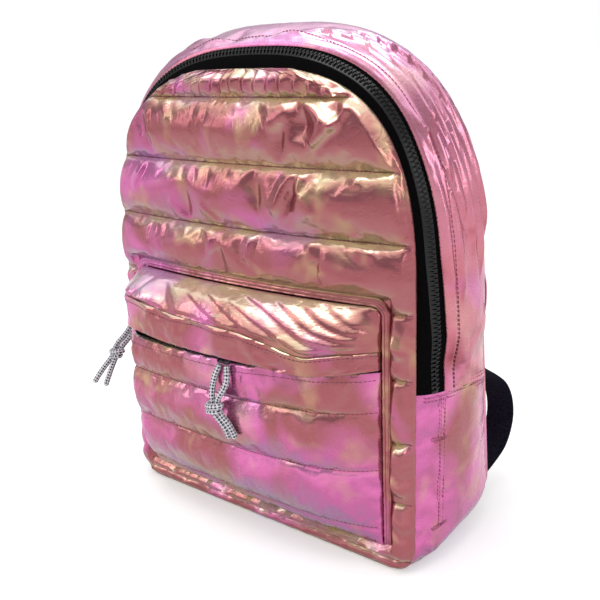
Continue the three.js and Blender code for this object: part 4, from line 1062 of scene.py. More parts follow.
def webbing_grids(side):
    across = np.linspace(-1, 1, 27)

    def thickness(pad, place, length):
        rounded = np.sqrt(np.clip((1 - np.abs(place)) / 0.12, 0.25, 1))
        rib = 1 + 0.12 * np.sin(2 * math.pi * length / 0.0016) * smooth((0.9 - np.abs(place)) / 0.05)
        return WEBBING_WALL * rounded * rib + pad * 0

    return band_grid(webbing_rows(side), 0.0004, across, thickness)


def haul_grids():
    steps = 220
    share = np.linspace(0, 1, steps + 1)[:, None]
    x = mix(-HAUL_SPAN / 2, HAUL_SPAN / 2, share)
    up = np.linspace(0, 1, 25)[None, :]
    z = mix(HAUL_HEIGHT - WEBBING_WIDTH, HAUL_HEIGHT, up)
    foot = back_outer(x, z) + GAP
    bow = HAUL_REACH * smooth(np.minimum(share, 1 - share) / 0.3)
    rib = 1 + 0.12 * np.sin(2 * math.pi * share * HAUL_SPAN * 1.4 / 0.0016)
    rounded = np.sqrt(np.clip(np.minimum(up, 1 - up) / 0.06, 0.3, 1))
    x, z = x + 0 * z, z + 0 * x
    return behind_back(x, z, foot + bow + WEBBING_WALL * rib * rounded), behind_back(x, z, foot + bow)


# Materials

def new_material(name):
    material = bpy.data.materials.new(name)
    material.use_nodes = True
    tree = material.node_tree
    return material, tree, tree.nodes["Principled BSDF"]


def add(tree, kind, **inputs):
    node = tree.nodes.new(kind)
    for key, value in inputs.items():
        if key in node.inputs:
            node.inputs[key].default_value = value
        else:
            setattr(node, key, value)
    return node


def socket(node, key, value):
    node.inputs[key].default_value = value


def noise(tree, vector, scale, detail=2.0, roughness=0.5, distortion=0.0):
    settings = {"Scale": scale, "Detail": detail, "Roughness": roughness, "Distortion": distortion}
    node = add(tree, "ShaderNodeTexNoise", **settings)
    tree.links.new(vector, node.inputs["Vector"])
    return node.outputs["Fac"]


def maths(tree, operation, a, b=None, clamp=False):
    node = tree.nodes.new("ShaderNodeMath")
    node.operation = operation
    node.use_clamp = clamp
    for slot_number, value in enumerate((a, b)):
        if value is None:
            continue
        if isinstance(value, (int, float)):
            node.inputs[slot_number].default_value = value
        else:
            tree.links.new(value, node.inputs[slot_number])
    return node.outputs[0]


def display(colour):
    """The light of a colour that is written as it looks on a screen."""
    return tuple(c / 12.92 if c <= 0.04045 else ((c + 0.055) / 1.055) ** 2.4 for c in colour)


def ramp(tree, factor, stops):
    node = tree.nodes.new("ShaderNodeValToRGB")
    elements = node.color_ramp.elements
    while len(elements) < len(stops):
        elements.new(0.5)
    for element, (place, colour) in zip(elements, stops):
        element.position = place
        element.color = (*display(colour), 1)
    tree.links.new(factor, node.inputs["Fac"])
    return node.outputs["Color"]


def blend_colours(tree, factor, a, b):
    node = tree.nodes.new("ShaderNodeMix")
    node.data_type = "RGBA"
    tree.links.new(factor, node.inputs["Factor"])
    tree.links.new(a, node.inputs["A"])
    tree.links.new(b, node.inputs["B"])
    return node.outputs["Result"]


# Colours of the coating by how far the cloth faces up: 0 faces down, 0.5 to the side, 1 up. The hue shifts
# along each ramp stand for the coating's iridescence, but each ramp also paints light: it runs to a
# near-white painted highlight where the cloth faces up, and is darker where the cloth faces the side or down,
# as painted shade.
ROSE_AND_PAINTED_LIGHT_STOPS = [
    (0.10, (0.64, 0.58, 0.48)),
    (0.26, (0.63, 0.49, 0.44)),
    (0.38, (0.61, 0.38, 0.39)),
    (0.54, (0.61, 0.34, 0.36)),
    (0.68, (0.68, 0.41, 0.43)),
    (0.82, (0.88, 0.63, 0.58)),
    (0.93, (0.98, 0.90, 0.78)),
]
VIOLET_AND_PAINTED_LIGHT_STOPS = [
    (0.12, (0.58, 0.46, 0.58)),
    (0.32, (0.64, 0.42, 0.58)),
    (0.44, (0.72, 0.38, 0.58)),
    (0.54, (0.80, 0.42, 0.64)),
    (0.66, (0.86, 0.48, 0.70)),
    (0.80, (0.92, 0.60, 0.78)),
    (0.93, (0.98, 0.82, 0.92)),
]
PINK_AND_PAINTED_LIGHT_STOPS = [
    (0.12, (0.44, 0.15, 0.20)),
    (0.32, (0.56, 0.25, 0.30)),
    (0.45, (0.72, 0.42, 0.47)),
    (0.56, (0.80, 0.50, 0.57)),
    (0.68, (0.88, 0.58, 0.68)),
    (0.82, (0.96, 0.70, 0.84)),
    (0.94, (1.00, 0.80, 0.92)),
]
MAGENTA_AND_PAINTED_LIGHT_STOPS = [
    (0.12, (0.46, 0.20, 0.34)),
    (0.32, (0.58, 0.32, 0.44)),
    (0.45, (0.74, 0.42, 0.58)),
    (0.56, (0.84, 0.50, 0.68)),
    (0.68, (0.92, 0.58, 0.80)),
    (0.82, (0.96, 0.72, 0.92)),
    (0.94, (1.00, 0.84, 0.96)),
]
GOLD_AND_PAINTED_LIGHT_STOPS = [
    (0.15, (0.58, 0.55, 0.40)),
    (0.45, (0.68, 0.56, 0.42)),
    (0.60, (0.74, 0.60, 0.46)),
    (0.75, (0.88, 0.78, 0.58)),
    (0.92, (0.98, 0.95, 0.76)),
]

# Scales of the coating's noise, the noise above which it turns gold, and how metallic it is
CRUMPLE_SCALE = 75
GRAIN_SCALE = 330
PATCH_SCALE = 13
DRIFT_SCALE = 28
GOLD_FROM = 0.54
FOIL_METAL = 0.82


def foil(name, stops, patch_stops, patch_bias, patch_lean, gold, crumple, roughness):
    """A crinkled metallic coating whose colour turns with the cloth's slope, with painted highlights where it
    faces up and painted shade where it turns away, and drifts over the bag.
    """
    material, tree, shader = new_material(name)
    place = tree.nodes.new("ShaderNodeTexCoord").outputs["Object"]
    broad = noise(tree, place, CRUMPLE_SCALE, 3.0, 0.55, 0.8)
    fine = noise(tree, place, GRAIN_SCALE, 2.0, 0.5)
    creases = maths(tree, "ABSOLUTE", maths(tree, "SUBTRACT", broad, 0.5))
    height = maths(tree, "ADD", creases, maths(tree, "MULTIPLY", fine, 0.06))
    relief = add(tree, "ShaderNodeBump", Strength=crumple, Distance=0.004)
    tree.links.new(height, relief.inputs["Height"])
    # The bumped normal's upward share picks the colour, so every fold and crumple gets a painted highlight on
    # its up-facing side and painted shade below it.
    split = tree.nodes.new("ShaderNodeSeparateXYZ")
    tree.links.new(relief.outputs["Normal"], split.inputs["Vector"])
    patch = noise(tree, place, PATCH_SCALE, 2.0, 0.5, 0.6)
    drift = noise(tree, place, DRIFT_SCALE, 2.0, 0.55, 0.4)
    slope = maths(tree, "MULTIPLY_ADD", split.outputs["Z"], 0.5)
    slope.node.inputs[2].default_value = 0.5
    slope = maths(tree, "ADD", slope, maths(tree, "MULTIPLY", maths(tree, "SUBTRACT", drift, 0.5), 0.28))
    spot = tree.nodes.new("ShaderNodeSeparateXYZ")
    tree.links.new(place, spot.inputs["Vector"])
    patchy = maths(tree, "ADD", patch, maths(tree, "MULTIPLY", spot.outputs["X"], patch_lean))
    share = maths(tree, "MULTIPLY", maths(tree, "SUBTRACT", patchy, patch_bias), 6.0, clamp=True)
    # Slope-driven colour: the coating's hue together with painted highlight and painted shade.
    colour = blend_colours(tree, share, ramp(tree, slope, stops), ramp(tree, slope, patch_stops))
    golden = maths(tree, "MULTIPLY", maths(tree, "SUBTRACT", drift, GOLD_FROM), 7.0, clamp=True)
    colour = blend_colours(tree, maths(tree, "MULTIPLY", golden, gold), colour, ramp(tree, slope, GOLD_AND_PAINTED_LIGHT_STOPS))
    tree.links.new(colour, shader.inputs["Base Color"])
    gloss = maths(tree, "MULTIPLY_ADD", fine, 0.10)
    gloss.node.inputs[2].default_value = roughness - 0.05
    tree.links.new(gloss, shader.inputs["Roughness"])
    tree.links.new(relief.outputs["Normal"], shader.inputs["Normal"])
    socket(shader, "Metallic", FOIL_METAL)
    return material


def woven(name, colour, light, scale, roughness):
    """Black woven tape or webbing."""
    material, tree, shader = new_material(name)
    place = tree.nodes.new("ShaderNodeTexCoord").outputs["Object"]
    grain = noise(tree, place, scale, 2.0, 0.6)
    tree.links.new(ramp(tree, grain, [(0.35, colour), (0.7, light)]), shader.inputs["Base Color"])
    relief = add(tree, "ShaderNodeBump", Strength=0.5, Distance=0.0004)
    tree.links.new(grain, relief.inputs["Height"])
    tree.links.new(relief.outputs["Normal"], shader.inputs["Normal"])
    socket(shader, "Roughness", roughness)
    socket(shader, "Specular IOR Level", 0.04)
    return material


def plain(name, colour, roughness, metallic=0.0, grain=400, strength=0.15, shine=0.5):
    """Moulded plastic, painted metal or thread, with a fine grain."""
    material, tree, shader = new_material(name)
    place = tree.nodes.new("ShaderNodeTexCoord").outputs["Object"]
    speckle = noise(tree, place, grain, 2.0, 0.6)
    darker = tuple(0.75 * c for c in colour)
    tree.links.new(ramp(tree, speckle, [(0.3, darker), (0.7, colour)]), shader.inputs["Base Color"])
    relief = add(tree, "ShaderNodeBump", Strength=strength, Distance=0.0003)
    tree.links.new(speckle, relief.inputs["Height"])
    tree.links.new(relief.outputs["Normal"], shader.inputs["Normal"])
    socket(shader, "Roughness", roughness)
    socket(shader, "Metallic", metallic)
    socket(shader, "Specular IOR Level", shine)
    return material


def braid(name):
    """White cord with black flecks in its braid, which follows the cord's own coordinates."""
    material, tree, shader = new_material(name)
    coordinates = tree.nodes.new("ShaderNodeUVMap")
    coordinates.uv_map = "UVMap"
    split = tree.nodes.new("ShaderNodeSeparateXYZ")
    tree.links.new(coordinates.outputs["UV"], split.inputs["Vector"])
    around, along = split.outputs["X"], split.outputs["Y"]
    strands = [
        maths(tree, "SINE", maths(tree, "MULTIPLY", maths(tree, kind, around, along), 2 * math.pi * 3))
        for kind in ("ADD", "SUBTRACT")
    ]
    weave = maths(tree, "MULTIPLY", *strands)
    place = tree.nodes.new("ShaderNodeTexCoord").outputs["Object"]
    broken = maths(tree, "ADD", weave, maths(tree, "SUBTRACT", noise(tree, place, 700, 1.0), 0.5))
    flecks = [(0.10, (0.86, 0.85, 0.88)), (0.22, (0.08, 0.08, 0.10))]
    tree.links.new(ramp(tree, broken, flecks), shader.inputs["Base Color"])
    relief = add(tree, "ShaderNodeBump", Strength=0.8, Distance=0.0006)
    tree.links.new(maths(tree, "ABSOLUTE", weave), relief.inputs["Height"])
    tree.links.new(relief.outputs["Normal"], shader.inputs["Normal"])
    socket(shader, "Roughness", 0.8)
    socket(shader, "Sheen Weight", 0.3)
    return material


ROSE_FOIL = foil(
    "rose_foil", ROSE_AND_PAINTED_LIGHT_STOPS, VIOLET_AND_PAINTED_LIGHT_STOPS,
    patch_bias=0.52, patch_lean=-0.7, gold=0.6, crumple=0.15, roughness=0.25,
)
POCKET_FOIL = foil(
    "pocket_foil", ROSE_AND_PAINTED_LIGHT_STOPS, VIOLET_AND_PAINTED_LIGHT_STOPS,
    patch_bias=0.45, patch_lean=0.4, gold=0.4, crumple=0.14, roughness=0.26,
)
BROW_FOIL = foil(
    "brow_foil", ROSE_AND_PAINTED_LIGHT_STOPS, VIOLET_AND_PAINTED_LIGHT_STOPS,
    patch_bias=0.44, patch_lean=-0.8, gold=0.4, crumple=0.14, roughness=0.25,
)
PINK_FOIL = foil(
    "pink_foil", PINK_AND_PAINTED_LIGHT_STOPS, MAGENTA_AND_PAINTED_LIGHT_STOPS,
    patch_bias=0.52, patch_lean=0.0, gold=0.25, crumple=0.10, roughness=0.27,
)
BLACK_TAPE = woven("black_tape", (0.01, 0.01, 0.01), (0.04, 0.03, 0.04), 900, 0.9)
BLACK_WEBBING = woven("black_webbing", (0.05, 0.05, 0.08), (0.14, 0.14, 0.20), 700, 0.7)
BLACK_TEETH = plain("black_teeth", (0.04, 0.04, 0.05), 0.25, shine=0.3)
BLACK_METAL = plain("black_metal", (0.20, 0.20, 0.22), 0.3, metallic=0.7)
BLACK_PLASTIC = plain("black_plastic", (0.09, 0.09, 0.10), 0.42)
THREAD = plain("thread", (0.66, 0.36, 0.44), 0.55, metallic=0.1)
CORD = braid("cord")


# Camera at the photograph's angle, fitted to the bag's seams

CAMERA_PLACE = (0.41218, -0.52192, 0.40079)
CAMERA_AZIMUTH = 38.3
CAMERA_DOWN = 16.8
CAMERA_ROLL = -2.9
CAMERA_LENS = 48.29
CAMERA_SENSOR = 36
CAMERA_SHIFT = (0.0118, -0.0312)


def make_camera():
    data = bpy.data.cameras.new("camera")
    data.lens = CAMERA_LENS
    data.sensor_width = CAMERA_SENSOR
    data.shift_x, data.shift_y = CAMERA_SHIFT
    data.clip_start = 0.01
    camera = bpy.data.objects.new("camera", data)
    bpy.context.scene.collection.objects.link(camera)
    azimuth, down, roll = (math.radians(v) for v in (CAMERA_AZIMUTH, CAMERA_DOWN, CAMERA_ROLL))
    back = Vector((math.sin(azimuth) * math.cos(down), -math.cos(azimuth) * math.cos(down), math.sin(down)))
    level = Vector((math.cos(azimuth), math.sin(azimuth), 0))
    above = back.cross(level)
    right = math.cos(roll) * level + math.sin(roll) * above
    top = math.cos(roll) * above - math.sin(roll) * level
    turn = Matrix((right, top, back)).transposed().to_4x4()
    camera.matrix_world = Matrix.Translation(Vector(CAMERA_PLACE) + Vector(SHIFT)) @ turn
    bpy.context.scene.camera = camera


make_camera()


# Pull cords: each strand runs on through the knot into its tail

POCKET_SLIDER = (0.0030, -0.0902, 0.1675)
MAIN_SLIDER = (-0.1586, -0.0368, 0.1571)


def from_slider(slider, rows):
    """Points given in millimetres from a slider's middle."""
    return np.array(slider) + np.array(rows) / 1000


POCKET_PULL = {
    "name": "pocket_pull",
    "knot": from_slider(POCKET_SLIDER, [-4, -16.6, -42.5]),
    "a": from_slider(POCKET_SLIDER, [
        [-4, -7.4, -9.2], [-4.5, -8.2, -11.9], [-6.2, -10.4, -17.5], [-7.4, -12.4, -24.5],
        [-7.2, -14.8, -31], [-6.6, -15.8, -35.6], [-5.4, -16.4, -42.5], [-3.6, -16.3, -50],
        [-0.2, -14.8, -55.5], [3.4, -13.4, -61.7], [5.4, -12.2, -69.5],
    ]),
    "b": from_slider(POCKET_SLIDER, [
        [4, -7.4, -9.2], [4.5, -8.2, -11.9], [6, -10.4, -17.5], [5.4, -12.4, -24], [2.4, -14.8, -30.5],
        [-0.4, -15.8, -35.6], [0, -16.4, -41.9], [1.7, -16.4, -47.5], [6.2, -14.8, -53.9],
        [9.6, -13.4, -60.5], [12, -12.2, -68],
    ]),
}
MAIN_PULL = {
    "name": "main_pull",
    "knot": from_slider(MAIN_SLIDER, [-12.2, -24.4, -36.6]),
    "a": from_slider(MAIN_SLIDER, [
        [-7, -4.4, -9.4], [-8.8, -8.4, -15.6], [-12.2, -13.8, -23.2], [-15.5, -20.2, -29.8],
        [-16.2, -24.4, -35.6], [-16.5, -27.9, -41], [-18.8, -34.4, -47.6], [-20.6, -41.4, -54.6],
        [-21.8, -48, -61.6],
    ]),
    "b": from_slider(MAIN_SLIDER, [
        [-7, 4, -10.2], [-7.2, -1.4, -17], [-7.8, -11.4, -25], [-9.5, -20.4, -32], [-10.2, -25, -36.6],
        [-10.2, -29, -40.9], [-9.4, -35, -47.6], [-8.6, -40.8, -55], [-8.2, -45.8, -62.6],
    ]),
}
PULL_NODES = {"a": ("strand_a", "tail_a"), "b": ("strand_b", "tail_b")}

KNOT_TURNS = 2.0
KNOT_REACH = (0.0062, 0.0045)
KNOT_HALF_HEIGHT = 0.0042
KNOT_SLANT = 0.0016


def tube(line, radius, sides):
    """Points, faces and cord coordinates of a round tube along a line."""
    tangent = np.gradient(line, axis=0)
    tangent /= np.linalg.norm(tangent, axis=1, keepdims=True)
    side = np.cross(tangent[0], (0.3, 1, 0.2))
    frames = []
    for direction in tangent:
        side = side - direction * (side @ direction)
        side /= np.linalg.norm(side)
        frames.append((side, np.cross(direction, side)))
    angle = np.linspace(0, 2 * math.pi, sides, endpoint=False)
    radius = np.broadcast_to(radius, len(line))
    points = [
        spot + r * (np.cos(angle)[:, None] * u + np.sin(angle)[:, None] * v)
        for spot, r, (u, v) in zip(line, radius, frames)
    ]
    length = run_length(line)
    faces = []
    for i in range(len(line) - 1):
        for j in range(sides):
            k = (j + 1) % sides
            faces.append((i * sides + j, i * sides + k, (i + 1) * sides + k, (i + 1) * sides + j))
    uv = [(j / sides, place / (2 * math.pi * float(radius.max()))) for place in length for j in range(sides)]
    points = np.concatenate(points)
    faces.append(tuple(range(sides))[::-1])
    faces.append(tuple((len(line) - 1) * sides + j for j in range(sides)))
    return points, faces, uv


def rounded_radius(count, radius, taper):
    """A radius that rounds off over the last few rings at both ends."""
    place = np.minimum(np.arange(count), np.arange(count)[::-1])
    return radius * np.sqrt(np.clip((place + 0.6) / taper, 0.0, 1))


def knot_line(pull):
    """Two slanting turns of cord round both strands, with the ends tucked in."""
    t = np.linspace(0, 1, 90)
    angle = 2 * math.pi * KNOT_TURNS * t + 0.6
    reach_x, reach_y = KNOT_REACH
    tuck = smooth(np.minimum(t, 1 - t) / 0.1)
    x = reach_x * np.cos(angle) * mix(0.45, 1, tuck)
    y = reach_y * np.sin(angle) * mix(0.4, 1, tuck)
    z = mix(KNOT_HALF_HEIGHT, -KNOT_HALF_HEIGHT, t) + KNOT_SLANT * np.cos(angle)
    return pull["knot"] + np.stack([x, y, z], -1)


def make_pull(pull):
    line = knot_line(pull)
    radius = rounded_radius(len(line), CORD_DIAMETER * 0.46, 4)
    points, faces, uv = tube(line, radius, 14)
    knot = piece_from(pull["name"] + "_turns", points, faces, CORD, uv)
    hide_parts(pull["name"] + "_knot")
    for letter, nodes in PULL_NODES.items():
        line, _, length = smooth_line(pull[letter], 0.0006)
        radius = rounded_radius(len(line), CORD_DIAMETER / 2, 3)
        points, faces, uv = tube(line, radius, 16)
        cord = piece_from(pull["name"] + "_cord_" + letter, points, faces, CORD, uv)
        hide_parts(*(pull["name"] + "_" + node for node in nodes))


make_pull(POCKET_PULL)
make_pull(MAIN_PULL)


# The sheets, simulated together

def cut_of(grid):
    """The flat width and length that a sewn sheet is cut to, and its area, measured on its outer face."""
    across, along = np.diff(grid, axis=1), np.diff(grid, axis=0)
    width = np.linalg.norm(across, axis=-1).sum(1).max()
    length = np.linalg.norm(along, axis=-1).sum(0).max()
    area = np.linalg.norm(np.cross(across[:-1], along[:, :-1]), axis=-1).sum()
    return (float(width), float(length)), float(area)


def make_soft_pieces():
    upper_outer, upper_inner = upper_gusset_grid(UPPER)
    lower_outer, lower_inner = lower_gusset_grid(LOWER)
    panel, panel_back, panel_held = front_panel_grid()
    low, low_back, low_held = pocket_lower_grid()
    high, high_back, high_held = pocket_upper_grid()
    flap, flap_back, flap_held = flap_grid()
    upper_out, lower_out = skin_directions(UPPER), skin_directions(LOWER)
    upper_held = rim(*upper_outer.shape[:2])
    upper_held[:, 1] = 1
    sheet("upper_gusset", upper_outer, upper_held, grow=0.005, pressure=3, cap=0.003, towards=upper_out)
    floor_held = np.maximum(rim(*lower_outer.shape[:2]), (lower_outer[..., 2] < 0.004).astype(float))
    sheet("lower_gusset", lower_outer, floor_held, grow=0.008, pressure=3, cap=0.003, towards=lower_out)
    sheet("front_panel", panel, panel_held, grow=0.014, pressure=5, cap=0.004)
    sheet("pocket_lower", low, low_held, grow=0.014, pressure=6, cap=0.004)
    sheet("pocket_upper", high, high_held, grow=0.005, pressure=3, cap=0.003)
    sheet("pocket_flap", flap, flap_held, grow=0.02, pressure=4, cap=0.0025)
    moved = simulate()
    upper_back = upper_inner + moved["upper_gusset"] - upper_outer
    lower_back = lower_inner + moved["lower_gusset"] - lower_outer
    makes = [
        ("quilted_front", "front_panel", moved["front_panel"], panel_back, ROSE_FOIL),
        ("pocket_front", "pocket_lower_panel", moved["pocket_lower"], low_back, POCKET_FOIL),
        ("pocket_brow", "pocket_upper_panel", moved["pocket_upper"], high_back, BROW_FOIL),
        ("pocket_cover", "pocket_flap", moved["pocket_flap"], flap_back, ROSE_FOIL),
        ("gusset_top", "upper_gusset", moved["upper_gusset"], upper_back, PINK_FOIL),
        ("gusset_base", "lower_gusset", moved["lower_gusset"], lower_back, POCKET_FOIL),
    ]
    for name, node, outer, inner, material in makes:
        points, faces, uv = wall(outer, inner)
        piece = piece_from(name, points, faces, material, uv)
        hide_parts(node)
        if name in ("quilted_front", "pocket_front", "pocket_brow"):
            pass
        else:
            flat, area = cut_of(outer)
    outer, inner = back_panel_grid()
    points, faces, uv = wall(outer, inner)
    back = piece_from("back_padding", points, faces, PINK_FOIL, uv)
    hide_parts("back_panel")
    return moved


MOVED = make_soft_pieces()


def make_zip_band():
    band = band_width(UPPER)[:, None]
    centre = chain_centre(UPPER)[:, None]
    columns = np.linspace(0, 1, 9)[None, :]
    low_edge, high_edge = centre - CHAIN_WIDTH / 2, centre + CHAIN_WIDTH / 2
    rib = 0.00012 * np.sin(2 * math.pi * UPPER["length"][:, None] / 0.0054)
    for name, node, start, end in (
        ("zip_tape_front", "main_zip_tape_front", GAP + 0 * band, low_edge - GAP),
        ("zip_tape_rear", "main_zip_tape_rear", high_edge + GAP, band),
    ):
        place = mix(start, end, columns)
        lift = rib * (1 + 0 * columns) - 0.0002
        points, faces, uv = wall(skin(UPPER, place, lift), skin(UPPER, place, lift - TAPE_WALL + 0.0003))
        piece = piece_from(name, points, faces, BLACK_TAPE, uv)
        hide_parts(node)
    make_main_teeth(centre)


def tooth(centre, along, across, out, size):
    """Points of one moulded tooth: a box with a narrower, rounded top."""
    long, wide, high = size
    points = []
    for level, shrink in ((-0.5, 1.0), (0.2, 1.0), (0.5, 0.62)):
        for a, c in ((-1, -1), (1, -1), (1, 1), (-1, 1)):
            ahead, aside = along * a * long * shrink / 2, across * c * wide * shrink / 2
            points.append(centre + ahead + aside + out * level * high)
    faces = [(3, 2, 1, 0), (8, 9, 10, 11)]
    for level in (0, 4):
        for k in range(4):
            faces.append((level + k, level + (k + 1) % 4, level + 4 + (k + 1) % 4, level + 4 + k))
    return points, faces


def join(parts):
    """One mesh from many small ones."""
    points, faces = [], []
    for part_points, part_faces in parts:
        start = len(points)
        points.extend(part_points)
        faces.extend(tuple(start + k for k in face) for face in part_faces)
    return points, faces


def make_main_teeth(centre):
    """Two rows of teeth that mesh along a core which joins them."""
    place = centre + CHAIN_WIDTH * np.array([[-0.5, -0.17, 0.17, 0.5]])
    outer = skin(UPPER, place, CHAIN_PROUD * 0.2)
    inner = skin(UPPER, place, -TAPE_WALL)
    core_points, core_faces, _ = wall(outer, inner)
    parts = [(core_points.tolist(), core_faces.tolist())]
    middle = skin(UPPER, centre, CHAIN_PROUD * 0.5)[:, 0]
    beside = skin(UPPER, centre + 0.001, CHAIN_PROUD * 0.5)[:, 0]
    length = UPPER["length"]
    outward = skin(UPPER, centre, 0.002)[:, 0] - middle
    count = int(length[-1] / TOOTH_PITCH)
    for k in range(1, count):
        at = k * TOOTH_PITCH
        spot = resample(middle, length, at)
        ahead = resample(middle, length, at + 0.001)
        along = (ahead - spot) / np.linalg.norm(ahead - spot)
        across = resample(beside, length, at) - spot
        across -= along * (across @ along)
        across /= np.linalg.norm(across)
        out = resample(outward, length, at)
        out /= np.linalg.norm(out)
        for sign in (-1, 1):
            shift = along * (TOOTH_PITCH / 4) * sign + across * sign * CHAIN_WIDTH * 0.2
            size = (TOOTH_PITCH * TOOTH_LENGTH_SHARE, CHAIN_WIDTH * TOOTH_WIDTH_SHARE, TOOTH_HEIGHT)
            parts.append(tooth(spot + shift + out * 0.0002, along, across, out, size))
    points, faces = join(parts)
    piece = piece_from("zip_teeth", points, faces, BLACK_TEETH, smooth_below=30)
    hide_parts("main_zip_chain")


make_zip_band()


def make_pocket_zip():
    chain_low = POCKET_CHAIN_HEIGHT - POCKET_CHAIN_WIDTH / 2
    chain_high = POCKET_CHAIN_HEIGHT + POCKET_CHAIN_WIDTH / 2
    inner = lambda x, tuck: POCKET_DEPTH * mix(POCKET_ZIP_REACH, 1, tuck) * swell_across(x)
    outer = lambda x, tuck: POCKET_ZIP_WALL + inner(x, tuck)
    share = pocket_shares()[0]
    lower_rows = [
        {"height": mix(zip_bottom_at(share), chain_low - GAP, k / 4), "tuck": 0} for k in range(5)
    ]
    upper_rows = [
        {"height": chain_high + GAP, "tuck": 0},
        {"height": mix(chain_high, ridge_at(share), 0.5), "tuck": 0.3},
        {"height": ridge_at(share) - GAP, "tuck": 1},
    ]
    for name, node, rows in (
        ("pocket_tape_lower", "pocket_zip_tape_lower", lower_rows),
        ("pocket_tape_upper", "pocket_zip_tape_upper", upper_rows),
    ):
        points, faces, uv = tape_wall(rows, outer, inner)
        piece = piece_from(name, points, faces, BLACK_TAPE, uv)
        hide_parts(node)
    chain_rows = [{"height": mix(chain_low, chain_high, k / 3), "tuck": 0} for k in range(4)]
    core_points, core_faces, _ = tape_wall(chain_rows, outer, inner)
    parts = [(core_points.tolist(), core_faces.tolist())]
    out = np.array([0.0, -1.0, 0.0])
    teeth_half = PANEL_HALF - POCKET_TEETH_INSET
    for x in np.arange(-teeth_half, teeth_half, POCKET_TOOTH_PITCH):
        for sign in (-1, 1):
            spot_x = x + sign * POCKET_TOOTH_PITCH / 4
            z = POCKET_CHAIN_HEIGHT + sign * POCKET_CHAIN_WIDTH * 0.2
            stand = on_panel(spot_x, z) + POCKET_ZIP_WALL + inner(spot_x, 0)
            spot = before_front(np.array(spot_x), np.array(z), stand)
            size = (POCKET_TOOTH_LENGTH, POCKET_CHAIN_WIDTH * TOOTH_WIDTH_SHARE, POCKET_TOOTH_HEIGHT)
            parts.append(tooth(spot, np.array([1.0, 0, 0]), np.array([0, 0, 1.0]), out, size))
    points, faces = join(parts)
    piece = piece_from("pocket_teeth", points, faces, BLACK_TEETH, smooth_below=30)
    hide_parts("pocket_zip_chain")


make_pocket_zip()


def make_trim():
    outer, inner = binding_grid()
    points, faces, uv = wall(outer, inner)
    binding = piece_from("pocket_piping", points, faces, ROSE_FOIL, uv)
    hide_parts("pocket_binding")
    for word, side in (("right", 1), ("left", -1)):
        points, faces, uv = wall(*strap_grids(side))
        strap = piece_from("strap_" + word, points, faces, PINK_FOIL, uv)
        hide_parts("shoulder_strap_" + word)
        points, faces, uv = wall(*webbing_grids(side))
        webbing = piece_from("webbing_" + word, points, faces, BLACK_WEBBING, uv)
        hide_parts("strap_webbing_" + word)
    points, faces, uv = wall(*haul_grids())
    haul = piece_from("haul_webbing", points, faces, BLACK_WEBBING, uv)
    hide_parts("haul_loop")


make_trim()


# Stitches: short threads that lie along the seams

def stitch_row(line, stitch=0.0028, gap=0.0007, radius=0.00028):
    """Capsules of thread along a dense line."""
    length = run_length(line)
    parts = []
    at = gap
    while at + stitch < length[-1]:
        places = at + stitch * np.array([0.0, 0.25, 0.75, 1.0])
        spots = resample(line, length, places)
        radii = radius * np.array([0.35, 1.0, 1.0, 0.35])
        points, faces, _ = tube(spots, radii, 5)
        parts.append((points.tolist(), faces))
        at += stitch + gap
    return parts


def make_stitches(moved):
    parts = []
    panel = moved["front_panel"]
    up_step = np.array([0, -0.0003, 0])
    for seam in SEAMS:
        row = int(np.argmin(np.abs(panel[:, panel.shape[1] // 2, 2] - seam)))
        line = panel[row] + up_step
        visible = behind_pocket(line[:, 0], line[:, 2]) < 0.5
        if visible.all():
            parts.extend(stitch_row(line))
        else:
            for chosen in (line[:, 0] > 0, line[:, 0] < 0):
                part = line[visible & chosen]
                if len(part) > 3:
                    parts.extend(stitch_row(part))
    low = moved["pocket_lower"]
    rows = low.shape[0]
    at = rows_between([0, *POCKET_SEAMS, 1], GRID / (POCKET_ZIP_BOTTOM - POCKET_BOTTOM))
    for seam in POCKET_SEAMS:
        row = int(np.argmin(np.abs(at - seam)))
        parts.extend(stitch_row(low[row] + up_step))
    parts.extend(stitch_row(low[rows - 3] + up_step))
    flap = moved["pocket_flap"]
    parts.extend(stitch_row(flap[int(flap.shape[0] * 0.8)] + 2 * up_step))
    upper = moved["upper_gusset"]
    widths = UPPER["depth"] - band_width(UPPER)
    column = round((upper.shape[1] - 1) * STITCH_FROM_ZIP / float(np.median(widths)))
    parts.extend(stitch_row(upper[:, column] + 0.0003 * skin_directions(UPPER)[:, 0]))
    points, faces = join(parts)
    piece_from("quilt_stitches", points, faces, THREAD)


def skin_line(path, chosen, distances, lift):
    grid = skin(path, distances[:, None] + np.zeros((len(path["depth"]), 1)), lift)
    return grid[chosen, 0]


def station(path, row):
    """A path cut down to one of its stations."""
    return {
        key: (value[row:row + 1] if isinstance(value, np.ndarray) else value) for key, value in path.items()
    }


